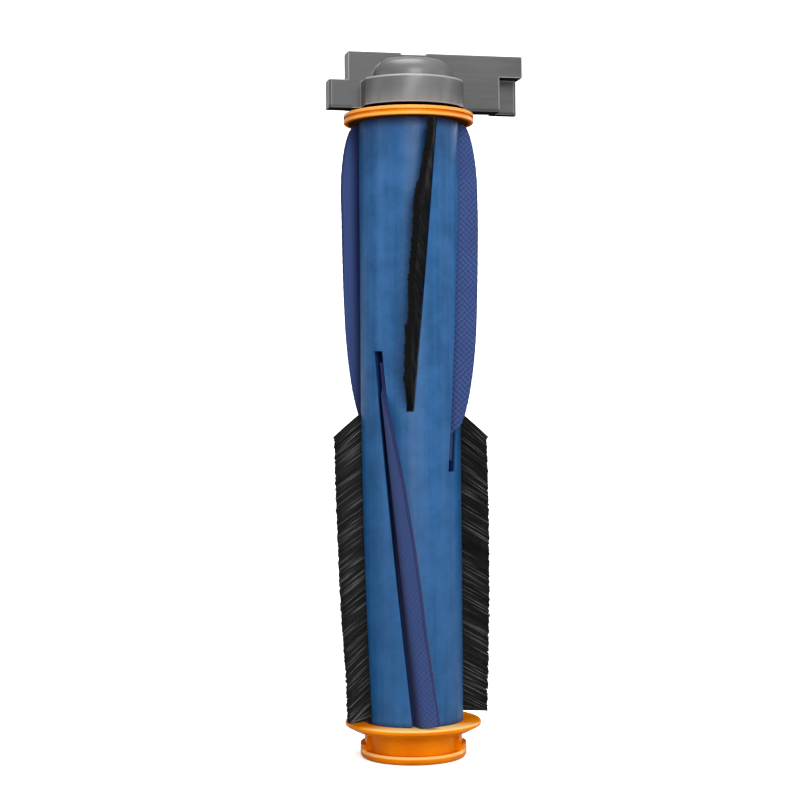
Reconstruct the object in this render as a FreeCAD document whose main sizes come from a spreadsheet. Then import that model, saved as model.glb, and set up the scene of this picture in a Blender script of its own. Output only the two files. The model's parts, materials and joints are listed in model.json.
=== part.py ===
import FreeCAD, Part
import math
import os

import Sketcher
from FreeCAD import Rotation, Vector

# A roller brush that stands on its drive end, with Z along the roller's axis and upwards.
# The origin is the centre of the drive end's bottom face. The end block's front looks along -Y.

# Driving sizes in millimetres, angles in degrees and twists in degrees per millimetre
SIZES = {
    # Drum
    "drum_radius": 12.6,
    "drum_length": 150.2,
    "drum_bore_radius": 6.0,
    "chevron_height": 77.7,
    "lower_strips_angle": 167.5,
    "upper_strips_angle": 256.3,
    "lower_spacing_angle": 57.5,
    "upper_spacing_angle": 60.0,
    "lower_bristle_twist": 0.41,
    "lower_blade_twist": 0.48,
    "upper_twist": 0.42,
    # Channels in the drum
    "bristle_slot_width": 1.9,
    "bristle_slot_depth": 1.3,
    "bristle_channel_width": 4.2,
    "bristle_channel_depth": 2.2,
    "fabric_slot_width": 2.6,
    "fabric_slot_overrun": 15.0,
    "keyhole_radius": 1.9,
    "keyhole_centre_depth": 2.8,
    # Bristle strips
    "bristle_reach": 6.8,
    "bristle_wall_thickness": 1.5,
    "bristle_wall_reach": 0.7,
    "lower_left_lean": -4.5,
    "lower_right_lean": 14.0,
    "upper_lean_at_middle": 4.5,
    "upper_lean_at_end": 16.0,
    "tuft_pitch": 2.6,
    "tuft_gap": 0.3,
    "tuft_tip_thickness": 2.0,
    "tuft_rake_at_middle": 6.1,
    "tuft_rake_at_end": 0.6,
    "backing_end_gap": 0.2,
    # Fabric blades and the rods in their beads
    "blade_thickness": 1.1,
    "blade_bend_radius": 1.4,
    "blade_start": 4.6,
    "bead_start": 12.2,
    "sunk_end_depth": 0.5,
    "bead_radius": 1.75,
    "core_radius": 1.0,
    "upper_blade_reach": 4.25,
    "upper_blade_lean": 30.0,
    "upper_blade_taper": 30.0,
    "upper_blade_rounding": 18.0,
    "lower_blade_reach": 4.4,
    "lower_blade_lean": 66.0,
    "lower_blade_shift": 0.6,
    "lower_blade_taper": 45.0,
    "lower_blade_rounding": 1.5,
    # Drive end cap
    "rim_radius": 13.35,
    "rim_height": 2.1,
    "rim_rounding": 1.1,
    "rim_chamfer": 0.4,
    "lug_rim_height": 1.5,
    "lug_radius": 12.3,
    "lug_width_angle": 40.0,
    "lug_angle": 346.0,
    "neck_radius": 11.3,
    "neck_height": 4.7,
    "drive_flange_radius": 17.15,
    "drive_flange_thickness": 2.4,
    "drive_flange_foot_radius": 14.4,
    "drive_flange_lip": 1.0,
    "cup_radius": 10.2,
    "cup_depth": 5.8,
    "flange_rounding": 0.5,
    "plug_length": 18.0,
    # Drive bush in the cap
    "bush_across_flats": 8.0,
    "bush_length": 14.0,
    "bush_bore_radius": 3.1,
    "bush_slot_width": 2.2,
    "bush_slot_depth": 3.0,
    # Idle end cap
    "idle_flange_radius": 16.4,
    "idle_flange_thickness": 2.3,
    "idle_groove_width": 0.6,
    "idle_groove_depth": 0.4,
    "idle_flange_rounding": 0.25,
    "boss_radius": 4.4,
    "boss_height": 2.3,
    "plug_floor": 2.0,
    # Axle pin, shim and clip
    "pin_radius": 3.0,
    "pin_chamfer": 0.5,
    "pin_above_clip": 1.0,
    "shim_thickness": 0.4,
    "clip_groove_radius": 2.5,
    "clip_radius": 5.4,
    "clip_thickness": 0.7,
    "clip_mouth_width": 3.8,
    # Ball bearing
    "bearing_radius": 9.5,
    "bearing_width": 6.0,
    "outer_ring_bore_radius": 7.4,
    "inner_ring_radius": 5.1,
    "ball_radius": 1.75,
    "cage_radius": 6.75,
    "cage_wall": 1.0,
    "cage_height": 4.4,
    "shield_seat_radius": 7.9,
    "shield_seat_depth": 0.5,
    "shield_thickness": 0.3,
    "shield_bore_radius": 5.4,
    # Felt seal under the bearing
    "felt_bore_radius": 4.75,
    "felt_inset": 0.3,
    # Cap screws
    "screw_circle_radius": 8.3,
    "screw_radius": 1.1,
    "screw_length": 10.0,
    "screw_head_radius": 1.8,
    "screw_head_height": 1.2,
    # End block
    "block_gap": 1.1,
    "block_height": 14.2,
    "plate_front": 2.2,
    "plate_thickness": 5.2,
    "plate_left": 15.8,
    "plate_right": 23.25,
    "hub_radius": 14.5,
    "hub_half_width": 12.6,
    "hub_back": 12.0,
    "hub_height": 6.9,
    "hub_edge_rounding": 0.7,
    "hub_corner_rounding": 1.4,
    "dome_radius": 12.4,
    "dome_half_width": 9.8,
    "dome_height": 12.2,
    "dome_rounding": 5.0,
    "notch_left": 2.3,
    "notch_right": 4.3,
    "notch_depth": 0.4,
    "tab_reach": 4.9,
    "tab_height": 7.1,
    "tab_thickness": 4.8,
    "tab_chamfer": 0.6,
    "handle_reach": 6.05,
    "handle_height": 5.4,
    "handle_depth": 7.0,
    "column_width": 5.85,
    "column_setback": 4.4,
    "column_chamfer": 0.8,
    "block_wall": 2.0,
    "rib_thickness": 1.2,
    "clip_pocket_radius": 7.0,
    "clip_pocket_height": 2.4,
    # Fits
    "seat_clearance": 0.03,
    "sliding_clearance": 0.1,
    "race_clearance": 0.05,
}

BALLS = 7
HEXAGON_SIDES = 6
LUGS = 2
SECTION_SPACING = 8.0
CURVE_STEPS = 8
OVERCUT = 1.0
SAME_PLACE = 1e-4
WHOLE_TURN = 360
HALF_TURN = 180

doc = FreeCAD.newDocument("roller_brush")
nodes = {}


class Size:
    """A size that carries its number and the sheet expression that gives it."""

    def __init__(self, number, text):
        self.number = float(number)
        self.text = text

    def __add__(self, other):
        other = as_size(other)
        return Size(self.number + other.number, f"({self.text} + {other.text})")

    def __sub__(self, other):
        other = as_size(other)
        return Size(self.number - other.number, f"({self.text} - {other.text})")

    def __mul__(self, other):
        other = as_size(other)
        return Size(self.number * other.number, f"({self.text} * {other.text})")

    def __truediv__(self, other):
        other = as_size(other)
        return Size(self.number / other.number, f"({self.text} / {other.text})")

    def __neg__(self):
        return Size(-self.number, f"(0 - {self.text})")

    def __float__(self):
        return self.number


def as_size(value):
    """Give a plain number the form of a size."""
    return value if isinstance(value, Size) else Size(value, repr(float(value)))


def fill_sheet():
    """Write the driving sizes into the document's sheet and return them by name."""
    sheet = doc.addObject("Spreadsheet::Sheet", "Sizes")
    sizes = {}
    for row, (alias, value) in enumerate(SIZES.items(), start=1):
        sheet.set(f"A{row}", alias)
        sheet.set(f"B{row}", str(value))
        sheet.setAlias(f"B{row}", alias)
        sizes[alias] = Size(value, f"Sizes.{alias}")
    doc.recompute()
    return sizes


size = fill_sheet()


def number(name):
    """A driving size as a plain number."""
    return size[name].number


# Heights of the main levels
rim_top = size["rim_height"]
neck_top = rim_top + size["neck_height"]
drum_bottom = neck_top + size["drive_flange_thickness"]
drum_top = drum_bottom + size["drum_length"]
chevron_level = drum_bottom + size["chevron_height"]
idle_flange_top = drum_top + size["idle_flange_thickness"]
boss_top = idle_flange_top + size["boss_height"]
bearing_bottom = boss_top + size["shim_thickness"]
bearing_top = bearing_bottom + size["bearing_width"]
bearing_middle = bearing_bottom + size["bearing_width"] / 2
clip_bottom = bearing_top + size["race_clearance"]
clip_top = clip_bottom + size["clip_thickness"]
pin_top = clip_top + size["pin_above_clip"]
block_bottom = idle_flange_top + size["block_gap"]
block_top = block_bottom + size["block_height"]
plug_radius = size["drum_bore_radius"] - size["seat_clearance"]
pitch_radius = (size["outer_ring_bore_radius"] + size["inner_ring_radius"]) / 2


def bind(thing, **properties):
    """Bind an object's properties to sizes; a double underscore stands for a dot."""
    for name, value in properties.items():
        thing.setExpression(name.replace("__", "."), as_size(value).text)


def place(thing, x=0, y=0, z=0):
    """Bind the three coordinates of an object's place."""
    thing.setExpression(".Placement.Base.x", as_size(x).text)
    thing.setExpression(".Placement.Base.y", as_size(y).text)
    thing.setExpression(".Placement.Base.z", as_size(z).text)
    return thing


def cylinder(name, radius, height, x=0, y=0, z=0):
    """A solid cylinder along Z, standing on the level z."""
    solid = doc.addObject("Part::Cylinder", name)
    bind(solid, Radius=radius, Height=height)
    return place(solid, x, y, z)


def torus(name, ring_radius, tube_radius, z):
    """A solid ring of round section, level with z."""
    solid = doc.addObject("Part::Torus", name)
    bind(solid, Radius1=ring_radius, Radius2=tube_radius)
    return place(solid, z=z)


def sphere(name, radius, x, y, z):
    """A solid ball."""
    solid = doc.addObject("Part::Sphere", name)
    bind(solid, Radius=radius)
    return place(solid, x, y, z)


def box(name, x, y, z):
    """A box between the two ends given for each axis."""
    solid = doc.addObject("Part::Box", name)
    bind(solid, Length=as_size(x[1]) - x[0], Width=as_size(y[1]) - y[0], Height=as_size(z[1]) - z[0])
    return place(solid, x[0], y[0], z[0])


def fuse(name, parts):
    """Several solids joined into one."""
    joined = doc.addObject("Part::MultiFuse", name)
    joined.Shapes = parts
    joined.Refine = True
    return joined


def common(name, first, second):
    """What two solids share."""
    shared = doc.addObject("Part::Common", name)
    shared.Base = first
    shared.Tool = second
    return shared


def cut(name, base, tools):
    """One solid with others taken out of it, one after the other."""
    for index, tool in enumerate(tools):
        step = doc.addObject("Part::Cut", f"{name}_cut_{index + 1}")
        step.Base = base
        step.Tool = tool
        base = step
    return base


def edge_list(base, length, wanted):
    """A solid's wanted edges, each with the same two lengths."""
    return [
        (index, float(length), float(length))
        for index, edge in enumerate(base.Shape.Edges, start=1)
        if wanted(edge)
    ]


def rounded(name, base, radius, wanted):
    """A solid whose wanted edges are rounded."""
    doc.recompute()
    smooth = doc.addObject("Part::Fillet", name)
    smooth.Base = base
    smooth.Edges = edge_list(base, radius, wanted)
    return smooth


def chamfered(name, base, length, wanted):
    """A solid whose wanted edges are bevelled."""
    doc.recompute()
    bevel = doc.addObject("Part::Chamfer", name)
    bevel.Base = base
    bevel.Edges = edge_list(base, length, wanted)
    return bevel


def finish(thing, label):
    """Name a sub-part after its node and keep it for the files."""
    thing.Label = label
    nodes[label] = thing
    return thing


def origin_plane(body, role):
    """One of a body's own origin planes or axes."""
    return next(feature for feature in body.Origin.OriginFeatures if feature.Role == role)


def outline_sketch(body, name, role, points):
    """A closed outline of straight lines whose corners are bound to sizes."""
    sketch = body.newObject("Sketcher::SketchObject", name)
    sketch.AttachmentSupport = [(origin_plane(body, role), "")]
    sketch.MapMode = "FlatFace"
    corners = [(as_size(across), as_size(along)) for across, along in points]
    spots = [Vector(float(across), float(along), 0) for across, along in corners]
    for index, spot in enumerate(spots):
        sketch.addGeometry(Part.LineSegment(spot, spots[(index + 1) % len(spots)]), False)
    for index, (across, along) in enumerate(corners):
        following = (index + 1) % len(corners)
        sketch.addConstraint(Sketcher.Constraint("Coincident", index, 2, following, 1))
        for kind, axis, value in (("DistanceX", -2, across), ("DistanceY", -1, along)):
            if value.number == 0:
                sketch.addConstraint(Sketcher.Constraint("PointOnObject", index, 1, axis))
            else:
                rule = Sketcher.Constraint(kind, -1, 1, index, 1, value.number)
                place_rule = sketch.addConstraint(rule)
                sketch.setExpression(f"Constraints[{place_rule}]", value.text)
    return sketch


def turn(body, name, points, subtract=False, angle=WHOLE_TURN):
    """Turn an outline of radius and height about Z, as added or as taken material."""
    sketch = outline_sketch(body, f"{name}_outline", "XZ_Plane", points)
    kind = "PartDesign::Groove" if subtract else "PartDesign::Revolution"
    feature = body.newObject(kind, name)
    feature.Profile = sketch
    feature.ReferenceAxis = (sketch, ["V_Axis"])
    bind(feature, Angle=angle)
    feature.Midplane = True
    doc.recompute()
    return feature


def bored(body, name, radius, spots, bottom, depth):
    """Holes along Z, each at a place of its own, from the level bottom upwards."""
    sketch = body.newObject("Sketcher::SketchObject", f"{name}_circles")
    sketch.AttachmentSupport = [(origin_plane(body, "XY_Plane"), "")]
    sketch.MapMode = "FlatFace"
    sketch.setExpression(".AttachmentOffset.Base.z", as_size(bottom).text)
    for index, (across, along) in enumerate(spots):
        centre = Vector(float(across), float(along), 0)
        sketch.addGeometry(Part.Circle(centre, Vector(0, 0, 1), float(radius)), False)
        radius_rule = sketch.addConstraint(Sketcher.Constraint("Radius", index, float(radius)))
        sketch.setExpression(f"Constraints[{radius_rule}]", as_size(radius).text)
        for kind, value in (("DistanceX", across), ("DistanceY", along)):
            rule = Sketcher.Constraint(kind, -1, 1, index, 3, float(value))
            place_rule = sketch.addConstraint(rule)
            sketch.setExpression(f"Constraints[{place_rule}]", as_size(value).text)
    pocket = body.newObject("PartDesign::Pocket", name)
    pocket.Profile = sketch
    pocket.Reversed = True
    bind(pocket, Length=depth)
    doc.recompute()
    return pocket


def around(radius, angle):
    """The two plan coordinates of a point at a radius and an angle, bound to both."""
    radius, angle = as_size(radius), as_size(angle)
    turned = math.radians(angle.number)
    across = Size(radius.number * math.cos(turned), f"({radius.text} * cos({angle.text} * 1 deg))")
    along = Size(radius.number * math.sin(turned), f"({radius.text} * sin({angle.text} * 1 deg))")
    return across, along


class Strip:
    """One channel line of the drum, which starts near the chevron's point and runs to an end."""

    def __init__(self, place_name, upper, angle, twist, leans=(0.0, 0.0)):
        self.place_name = place_name
        self.upper = upper
        self.direction = 1 if upper else -1
        self.angle = float(angle)
        self.twist = float(twist)
        self.leans = [float(lean) for lean in leans]
        end_level = drum_top if upper else drum_bottom
        self.length = abs(float(end_level) - float(chevron_level))

    def angle_at(self, distance):
        return self.angle + self.twist * distance

    def lean_at(self, distance):
        """The bristles' lean, which changes evenly from the middle of the drum to its end."""
        at_middle, at_end = self.leans
        return at_middle + (at_end - at_middle) * distance / self.length

    def level_at(self, distance):
        return float(chevron_level) + self.direction * distance

    def carry(self, section, distance):
        """Move a section from the X axis to its place on this line."""
        moved = section.copy()
        moved.rotate(Vector(), Vector(0, 0, 1), self.angle_at(distance))
        moved.translate(Vector(0, 0, self.level_at(distance)))
        return moved

    def sweep(self, outline, start, end):
        """A solid that follows this line, with one section all along."""
        count = max(2, math.ceil((end - start) / SECTION_SPACING)) + 1
        steps = [start + (end - start) * index / (count - 1) for index in range(count)]
        solid = Part.makeLoft([self.carry(outline, step) for step in steps], True, False)
        if solid.Volume < 0:
            solid.reverse()
        return solid


lower_start = size["lower_strips_angle"]
upper_start = size["upper_strips_angle"]
lower_blade_start = lower_start + size["lower_spacing_angle"]
upper_blade_start = upper_start + size["upper_spacing_angle"]
lower_twist = size["lower_bristle_twist"]
blade_twist = size["lower_blade_twist"]
upper_twist = size["upper_twist"]
left_leans = (size["lower_left_lean"], size["lower_left_lean"])
right_leans = (size["lower_right_lean"], size["lower_right_lean"])
upper_leans = (size["upper_lean_at_middle"], size["upper_lean_at_end"])

BRISTLE_STRIPS = [
    Strip("lower_left", False, lower_start, lower_twist, left_leans),
    Strip("lower_right", False, lower_start + HALF_TURN, lower_twist, right_leans),
    Strip("upper_front", True, upper_start, upper_twist, upper_leans),
    Strip("upper_rear", True, upper_start + HALF_TURN, upper_twist, upper_leans),
]
FABRIC_STRIPS = [
    Strip("lower_front", False, lower_blade_start, blade_twist),
    Strip("lower_rear", False, lower_blade_start + HALF_TURN, blade_twist),
    Strip("upper_right", True, upper_blade_start, upper_twist),
    Strip("upper_left", True, upper_blade_start + HALF_TURN, upper_twist),
]


def polygon(points):
    """A closed wire through points of radius and sideways distance."""
    return Part.makePolygon([Vector(out, side, 0) for out, side in points + points[:1]])


def rectangle(inner, outer, width):
    """A closed wire between two radii."""
    half = width / 2
    return polygon([(inner, -half), (outer, -half), (outer, half), (inner, half)])


def keyhole(centre, radius, neck_width, outer):
    """A round channel with a straight neck that reaches the radius outer."""
    half = neck_width / 2
    join = centre + math.sqrt(radius ** 2 - half ** 2)
    low, high = Vector(join, -half, 0), Vector(join, half, 0)
    round_part = Part.Arc(low, Vector(centre - radius, 0, 0), high).toShape()
    lines = [
        Part.makeLine(high, Vector(outer, half, 0)),
        Part.makeLine(Vector(outer, half, 0), Vector(outer, -half, 0)),
        Part.makeLine(Vector(outer, -half, 0), low),
    ]
    return Part.Wire([round_part] + lines)


drum_radius = number("drum_radius")
channel_outer = drum_radius - number("bristle_slot_depth")
channel_inner = channel_outer - number("bristle_channel_depth")
keyhole_centre = drum_radius - number("keyhole_centre_depth")
sliding = number("sliding_clearance")


def bristle_channel(strip):
    """The undercut channel that holds a bristle strip, open at the drum's end."""
    end = strip.length + OVERCUT
    slot_width = number("bristle_slot_width")
    slot = strip.sweep(rectangle(channel_outer - sliding, drum_radius + OVERCUT, slot_width), 0, end)
    tee = strip.sweep(
        rectangle(channel_inner, channel_outer, number("bristle_channel_width")), 0, end)
    return [slot, tee]


def fabric_channel(strip):
    """The keyhole channel that holds a blade's bead, open at the drum's end."""
    outline = keyhole(
        keyhole_centre,
        number("keyhole_radius"),
        number("fabric_slot_width"),
        drum_radius + OVERCUT,
    )
    return [strip.sweep(outline, -number("fabric_slot_overrun"), strip.length + OVERCUT)]


def screw_angles(bristle_angle, blade_angle):
    """The two angles of a cap's screws, midway in the wide gaps between the channels."""
    middle = (bristle_angle + HALF_TURN + blade_angle) / 2
    return [middle, middle + HALF_TURN]


lower_length = size["chevron_height"]
upper_length = size["drum_length"] - size["chevron_height"]
drive_screw_angles = screw_angles(
    lower_start + lower_twist * lower_length,
    lower_blade_start + blade_twist * lower_length,
)
idle_screw_angles = screw_angles(
    upper_start + upper_twist * upper_length,
    upper_blade_start + upper_twist * upper_length,
)


def make_drum():
    """The moulded tube with its eight twisted channels and four screw holes."""
    tube = Part.makeCylinder(drum_radius, number("drum_length"))
    bore = Part.makeCylinder(number("drum_bore_radius"), number("drum_length"))
    shape = tube.cut(bore)
    shape.translate(Vector(0, 0, float(drum_bottom)))
    tools = []
    for strip in BRISTLE_STRIPS:
        tools += bristle_channel(strip)
    for strip in FABRIC_STRIPS:
        tools += fabric_channel(strip)
    depth = number("screw_length")
    hole_radius = float(size["screw_radius"] + size["seat_clearance"])
    for angles, bottom in (
        (drive_screw_angles, float(drum_bottom)),
        (idle_screw_angles, float(drum_top) - depth),
    ):
        for angle in angles:
            across, along = around(size["screw_circle_radius"], angle)
            spot = Vector(float(across), float(along), bottom)
            tools.append(Part.makeCylinder(hole_radius, depth, spot))
    drum = doc.addObject("Part::Feature", "drum")
    drum.Shape = shape.cut(tools)
    finish(drum, "drum")


def tuft(strip, distance, pitch, rake):
    """One bundle of bristles, which fans out from the strip and rakes towards the drum's end."""
    root_radius = drum_radius + sliding
    tip_radius = drum_radius + number("bristle_reach")
    half_length = (pitch - number("tuft_gap")) / 2
    lean = math.radians(strip.lean_at(distance))
    ends = (
        (root_radius, 0.0, number("bristle_wall_thickness") / 2, 0.0),
        (
            tip_radius * math.cos(lean),
            -tip_radius * math.sin(lean),
            number("tuft_tip_thickness") / 2,
            rake * strip.direction,
        ),
    )
    wires = []
    for out, side, half, rise in ends:
        corners = [(-half, -half_length), (half, -half_length), (half, half_length), (-half, half_length)]
        loop = [Vector(out, side + across, rise + along) for across, along in corners]
        wires.append(strip.carry(Part.makePolygon(loop + loop[:1]), distance))
    return Part.makeLoft(wires, True, True)


def make_bristles(strip):
    """A bristle strip above its backing: one thin wall that carries a row of tufts."""
    start = number("backing_end_gap") + sliding / 2
    end = strip.length - number("backing_end_gap")
    outline = rectangle(
        channel_outer - sliding / 2,
        drum_radius + number("bristle_wall_reach"),
        number("bristle_wall_thickness"),
    )
    wall = strip.sweep(outline, start, end)
    rake_at_middle = number("tuft_rake_at_middle")
    rake_at_end = number("tuft_rake_at_end")
    room = end - start - rake_at_end
    count = max(2, int(room / number("tuft_pitch")))
    pitch = room / count
    tufts = []
    for index in range(count):
        rake = rake_at_middle + (rake_at_end - rake_at_middle) * index / (count - 1)
        tufts.append(tuft(strip, start + pitch * (index + 0.5), pitch, rake))
    bristles = doc.addObject("Part::Feature", f"bristles_{strip.place_name}")
    bristles.Shape = wall.fuse(tufts)
    finish(bristles, f"bristles_{strip.place_name}")


def make_backing(strip):
    """The flat backing strip that slides into the undercut channel and holds the bristles."""
    gap = number("backing_end_gap")
    outline = rectangle(
        channel_inner + sliding,
        channel_outer - sliding,
        number("bristle_channel_width") - 2 * sliding,
    )
    backing = doc.addObject("Part::Feature", f"bristle_backing_{strip.place_name}")
    backing.Shape = strip.sweep(outline, gap, strip.length - gap)
    finish(backing, f"bristle_backing_{strip.place_name}")


def blade_outline(reach, lean, shift):
    """A blade's section: a bead, a stem that shifts sideways in the slot, a bend and a free part."""
    half = number("blade_thickness") / 2
    bead = number("bead_radius")
    bend = number("blade_bend_radius")
    turned = math.radians(lean)
    join = keyhole_centre + math.sqrt(bead ** 2 - half ** 2)

    def bent(offset, angle):
        out = drum_radius + (bend - offset) * math.sin(angle)
        return Vector(out, shift + bend - (bend - offset) * math.cos(angle), 0)

    def tip(offset):
        base = bent(offset, turned)
        return base + Vector(math.cos(turned), math.sin(turned), 0) * reach

    low, high = Vector(join, -half, 0), Vector(join, half, 0)
    edges = [
        Part.Arc(low, Vector(keyhole_centre - bead, 0, 0), high).toShape(),
        Part.makeLine(high, bent(half, 0)),
        Part.Arc(bent(half, 0), bent(half, turned / 2), bent(half, turned)).toShape(),
        Part.makeLine(bent(half, turned), tip(half)),
        Part.makeLine(tip(half), tip(-half)),
        Part.makeLine(tip(-half), bent(-half, turned)),
        Part.Arc(bent(-half, turned), bent(-half, turned / 2), bent(-half, 0)).toShape(),
        Part.makeLine(bent(-half, 0), low),
    ]
    return Part.Wire(edges), max(tip(half).Length, tip(-half).Length)


def quarter_curve(corner_radius, full_radius, corner_distance, full_distance):
    """A quarter of an ellipse from a blade's short end to its full height, as curve points."""
    points = []
    for index in range(CURVE_STEPS + 1):
        angle = math.pi / 2 * index / CURVE_STEPS
        radius = corner_radius + (full_radius - corner_radius) * math.sin(angle)
        distance = full_distance + (corner_distance - full_distance) * math.cos(angle)
        points.append((radius, distance))
    return points


def blade_envelope(strip, tip_radius, taper, rounding):
    """The turned solid that gives a blade its sunk end, its long taper and its outer corner."""
    bead_start = -number("bead_start")
    sunk_radius = drum_radius - number("sunk_end_depth")
    start = -number("blade_start")
    end = strip.length - number("backing_end_gap")
    short_radius = drum_radius + number("blade_thickness") / 2
    full_radius = tip_radius + sliding
    rising = quarter_curve(short_radius, full_radius, start, start + taper)
    falling = quarter_curve(short_radius, full_radius, end, end - rounding)[::-1]

    def spot(radius, distance):
        return Vector(radius, 0, strip.level_at(distance))

    def curve(points):
        line = Part.BSplineCurve()
        line.interpolate([spot(*point) for point in points])
        return line.toShape()

    edges = [
        Part.makeLine(spot(0, bead_start), spot(sunk_radius, bead_start)),
        Part.makeLine(spot(sunk_radius, bead_start), spot(sunk_radius, start)),
        Part.makeLine(spot(sunk_radius, start), spot(*rising[0])),
        curve(rising),
        Part.makeLine(spot(*rising[-1]), spot(*falling[0])),
        curve(falling),
        Part.makeLine(spot(*falling[-1]), spot(0, end)),
        Part.makeLine(spot(0, end), spot(0, bead_start)),
    ]
    face = Part.Face(Part.Wire(edges))
    return face.revolve(Vector(), Vector(0, 0, 1), WHOLE_TURN)


def make_blade(strip):
    """A fabric blade whose bead sits in the keyhole channel round its core rod."""
    half_name = "upper" if strip.upper else "lower"
    reach = number(f"{half_name}_blade_reach")
    lean = number(f"{half_name}_blade_lean")
    taper = number(f"{half_name}_blade_taper")
    rounding = number(f"{half_name}_blade_rounding")
    shift = 0.0 if strip.upper else number("lower_blade_shift")
    outline, tip_radius = blade_outline(reach, lean, shift)
    start = -number("bead_start")
    end = strip.length - number("backing_end_gap")
    whole = strip.sweep(outline, start, end)
    trimmed = whole.common(blade_envelope(strip, tip_radius, taper, rounding))
    core_radius = number("core_radius")
    centre = Vector(keyhole_centre, 0, 0)
    axis = Vector(0, 0, 1)
    room = Part.Wire(Part.makeCircle(core_radius + number("seat_clearance"), centre, axis))
    rod = Part.Wire(Part.makeCircle(core_radius, centre, axis))
    blade = doc.addObject("Part::Feature", f"fabric_blade_{strip.place_name}")
    blade.Shape = trimmed.cut(strip.sweep(room, start - OVERCUT, end + OVERCUT))
    finish(blade, f"fabric_blade_{strip.place_name}")
    core = doc.addObject("Part::Feature", f"blade_core_{strip.place_name}")
    core.Shape = strip.sweep(rod, start, end)
    finish(core, f"blade_core_{strip.place_name}")


def hexagon(across_flats):
    """The corners of a hexagon of the given width across its flats."""
    corner_radius = across_flats / math.sqrt(3)
    return [around(corner_radius, WHOLE_TURN / HEXAGON_SIDES * index) for index in range(HEXAGON_SIDES)]


def prism(body, name, points, bottom, height, subtract=False):
    """An outline raised along Z from the level bottom, as added or as taken material."""
    sketch = outline_sketch(body, f"{name}_outline", "XY_Plane", points)
    sketch.setExpression(".AttachmentOffset.Base.z", as_size(bottom).text)
    feature = body.newObject("PartDesign::Pocket" if subtract else "PartDesign::Pad", name)
    feature.Profile = sketch
    feature.Reversed = subtract
    bind(feature, Length=height)
    doc.recompute()
    return feature


def screw_spots(angles):
    """Plan places of a cap's screws."""
    return [around(size["screw_circle_radius"], angle) for angle in angles]


def is_at(value, wanted):
    """Whether a measured value is the wanted one."""
    return abs(value - float(wanted)) < SAME_PLACE


def circle_edges(shape, radius, level):
    """Names of the round edges of a shape at a radius and a level."""
    names = []
    for index, edge in enumerate(shape.Edges, start=1):
        curve = edge.Curve
        if not isinstance(curve, Part.Circle):
            continue
        if is_at(curve.Radius, radius) and is_at(curve.Center.z, level):
            names.append(f"Edge{index}")
    return names


def fillet(body, name, base, radius, edges):
    """Round some edges of a feature."""
    feature = body.newObject("PartDesign::Fillet", name)
    feature.Base = (base, edges)
    bind(feature, Radius=radius)
    doc.recompute()
    return feature


def make_drive_cap():
    """The drive end: a coned flange, a necked hub with two lugs, and a plug for the drum's bore."""
    body = doc.addObject("PartDesign::Body", "drive_end_cap")
    plug_top = drum_bottom + size["plug_length"]
    rim = size["rim_radius"]
    lip_bottom = drum_bottom - size["drive_flange_lip"]
    base = turn(body, "drive_cap_turning", [
        (0, 0),
        (plug_radius, 0),
        (plug_radius, size["cup_depth"]),
        (size["cup_radius"], size["cup_depth"]),
        (size["cup_radius"], 0),
        (rim, 0),
        (rim, rim_top - size["rim_chamfer"]),
        (rim - size["rim_chamfer"], rim_top),
        (size["neck_radius"], rim_top),
        (size["neck_radius"], neck_top),
        (size["drive_flange_foot_radius"], neck_top),
        (size["drive_flange_radius"], lip_bottom),
        (size["drive_flange_radius"], drum_bottom),
        (plug_radius, drum_bottom),
        (plug_radius, plug_top),
        (0, plug_top),
    ])
    flange_edges = circle_edges(base.Shape, size["drive_flange_radius"], drum_bottom)
    flange_edges += circle_edges(base.Shape, size["drive_flange_radius"], lip_bottom)
    base = fillet(body, "drive_flange_edges", base, size["flange_rounding"], flange_edges)
    rim_edge = circle_edges(base.Shape, rim, 0)
    fillet(body, "drive_rim_edge", base, size["rim_rounding"], rim_edge)
    lug_root = (size["neck_radius"] + size["cup_radius"]) / 2
    lug_bottom = rim_top - size["rim_chamfer"]
    lug_rim_top = rim_top + size["lug_rim_height"]
    lug = turn(body, "lug", [
        (lug_root, lug_bottom),
        (rim, lug_bottom),
        (rim, lug_rim_top),
        (size["lug_radius"], lug_rim_top),
        (size["lug_radius"], neck_top),
        (lug_root, neck_top),
    ], angle=size["lug_width_angle"])
    pair = body.newObject("PartDesign::PolarPattern", "lug_pair")
    pair.Originals = [lug]
    pair.Axis = (origin_plane(body, "Z_Axis"), [""])
    pair.Angle = WHOLE_TURN
    pair.Occurrences = LUGS
    body.Tip = pair
    doc.recompute()
    local_angles = [angle - size["lug_angle"] for angle in drive_screw_angles]
    flats = size["bush_across_flats"] + size["seat_clearance"] * 2
    prism(body, "bush_socket", hexagon(flats), 0, size["bush_length"], subtract=True)
    shank = size["screw_radius"] + size["seat_clearance"]
    bored(body, "drive_screw_holes", shank, screw_spots(local_angles), 0, drum_bottom)
    body.setExpression(".Placement.Rotation.Angle", size["lug_angle"].text + " * 1 deg")
    body.Placement.Rotation.Axis = Vector(0, 0, 1)
    finish(body, "drive_end_cap")


def make_drive_bush():
    """The bush in the drive cap that slides on the drive shaft and takes its cross pin."""
    body = doc.addObject("PartDesign::Body", "drive_bush")
    prism(body, "bush_hexagon", hexagon(size["bush_across_flats"]), 0, size["bush_length"])
    turn(body, "bush_bore", [
        (0, 0),
        (size["bush_bore_radius"], 0),
        (size["bush_bore_radius"], size["bush_length"]),
        (0, size["bush_length"]),
    ], subtract=True)
    half = size["bush_slot_width"] / 2
    reach = size["bush_across_flats"]
    slot = [(-reach, -half), (reach, -half), (reach, half), (-reach, half)]
    prism(body, "bush_slot", slot, 0, size["bush_slot_depth"], subtract=True)
    body.setExpression(".Placement.Rotation.Angle", size["lug_angle"].text + " * 1 deg")
    body.Placement.Rotation.Axis = Vector(0, 0, 1)
    finish(body, "drive_bush")


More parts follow.
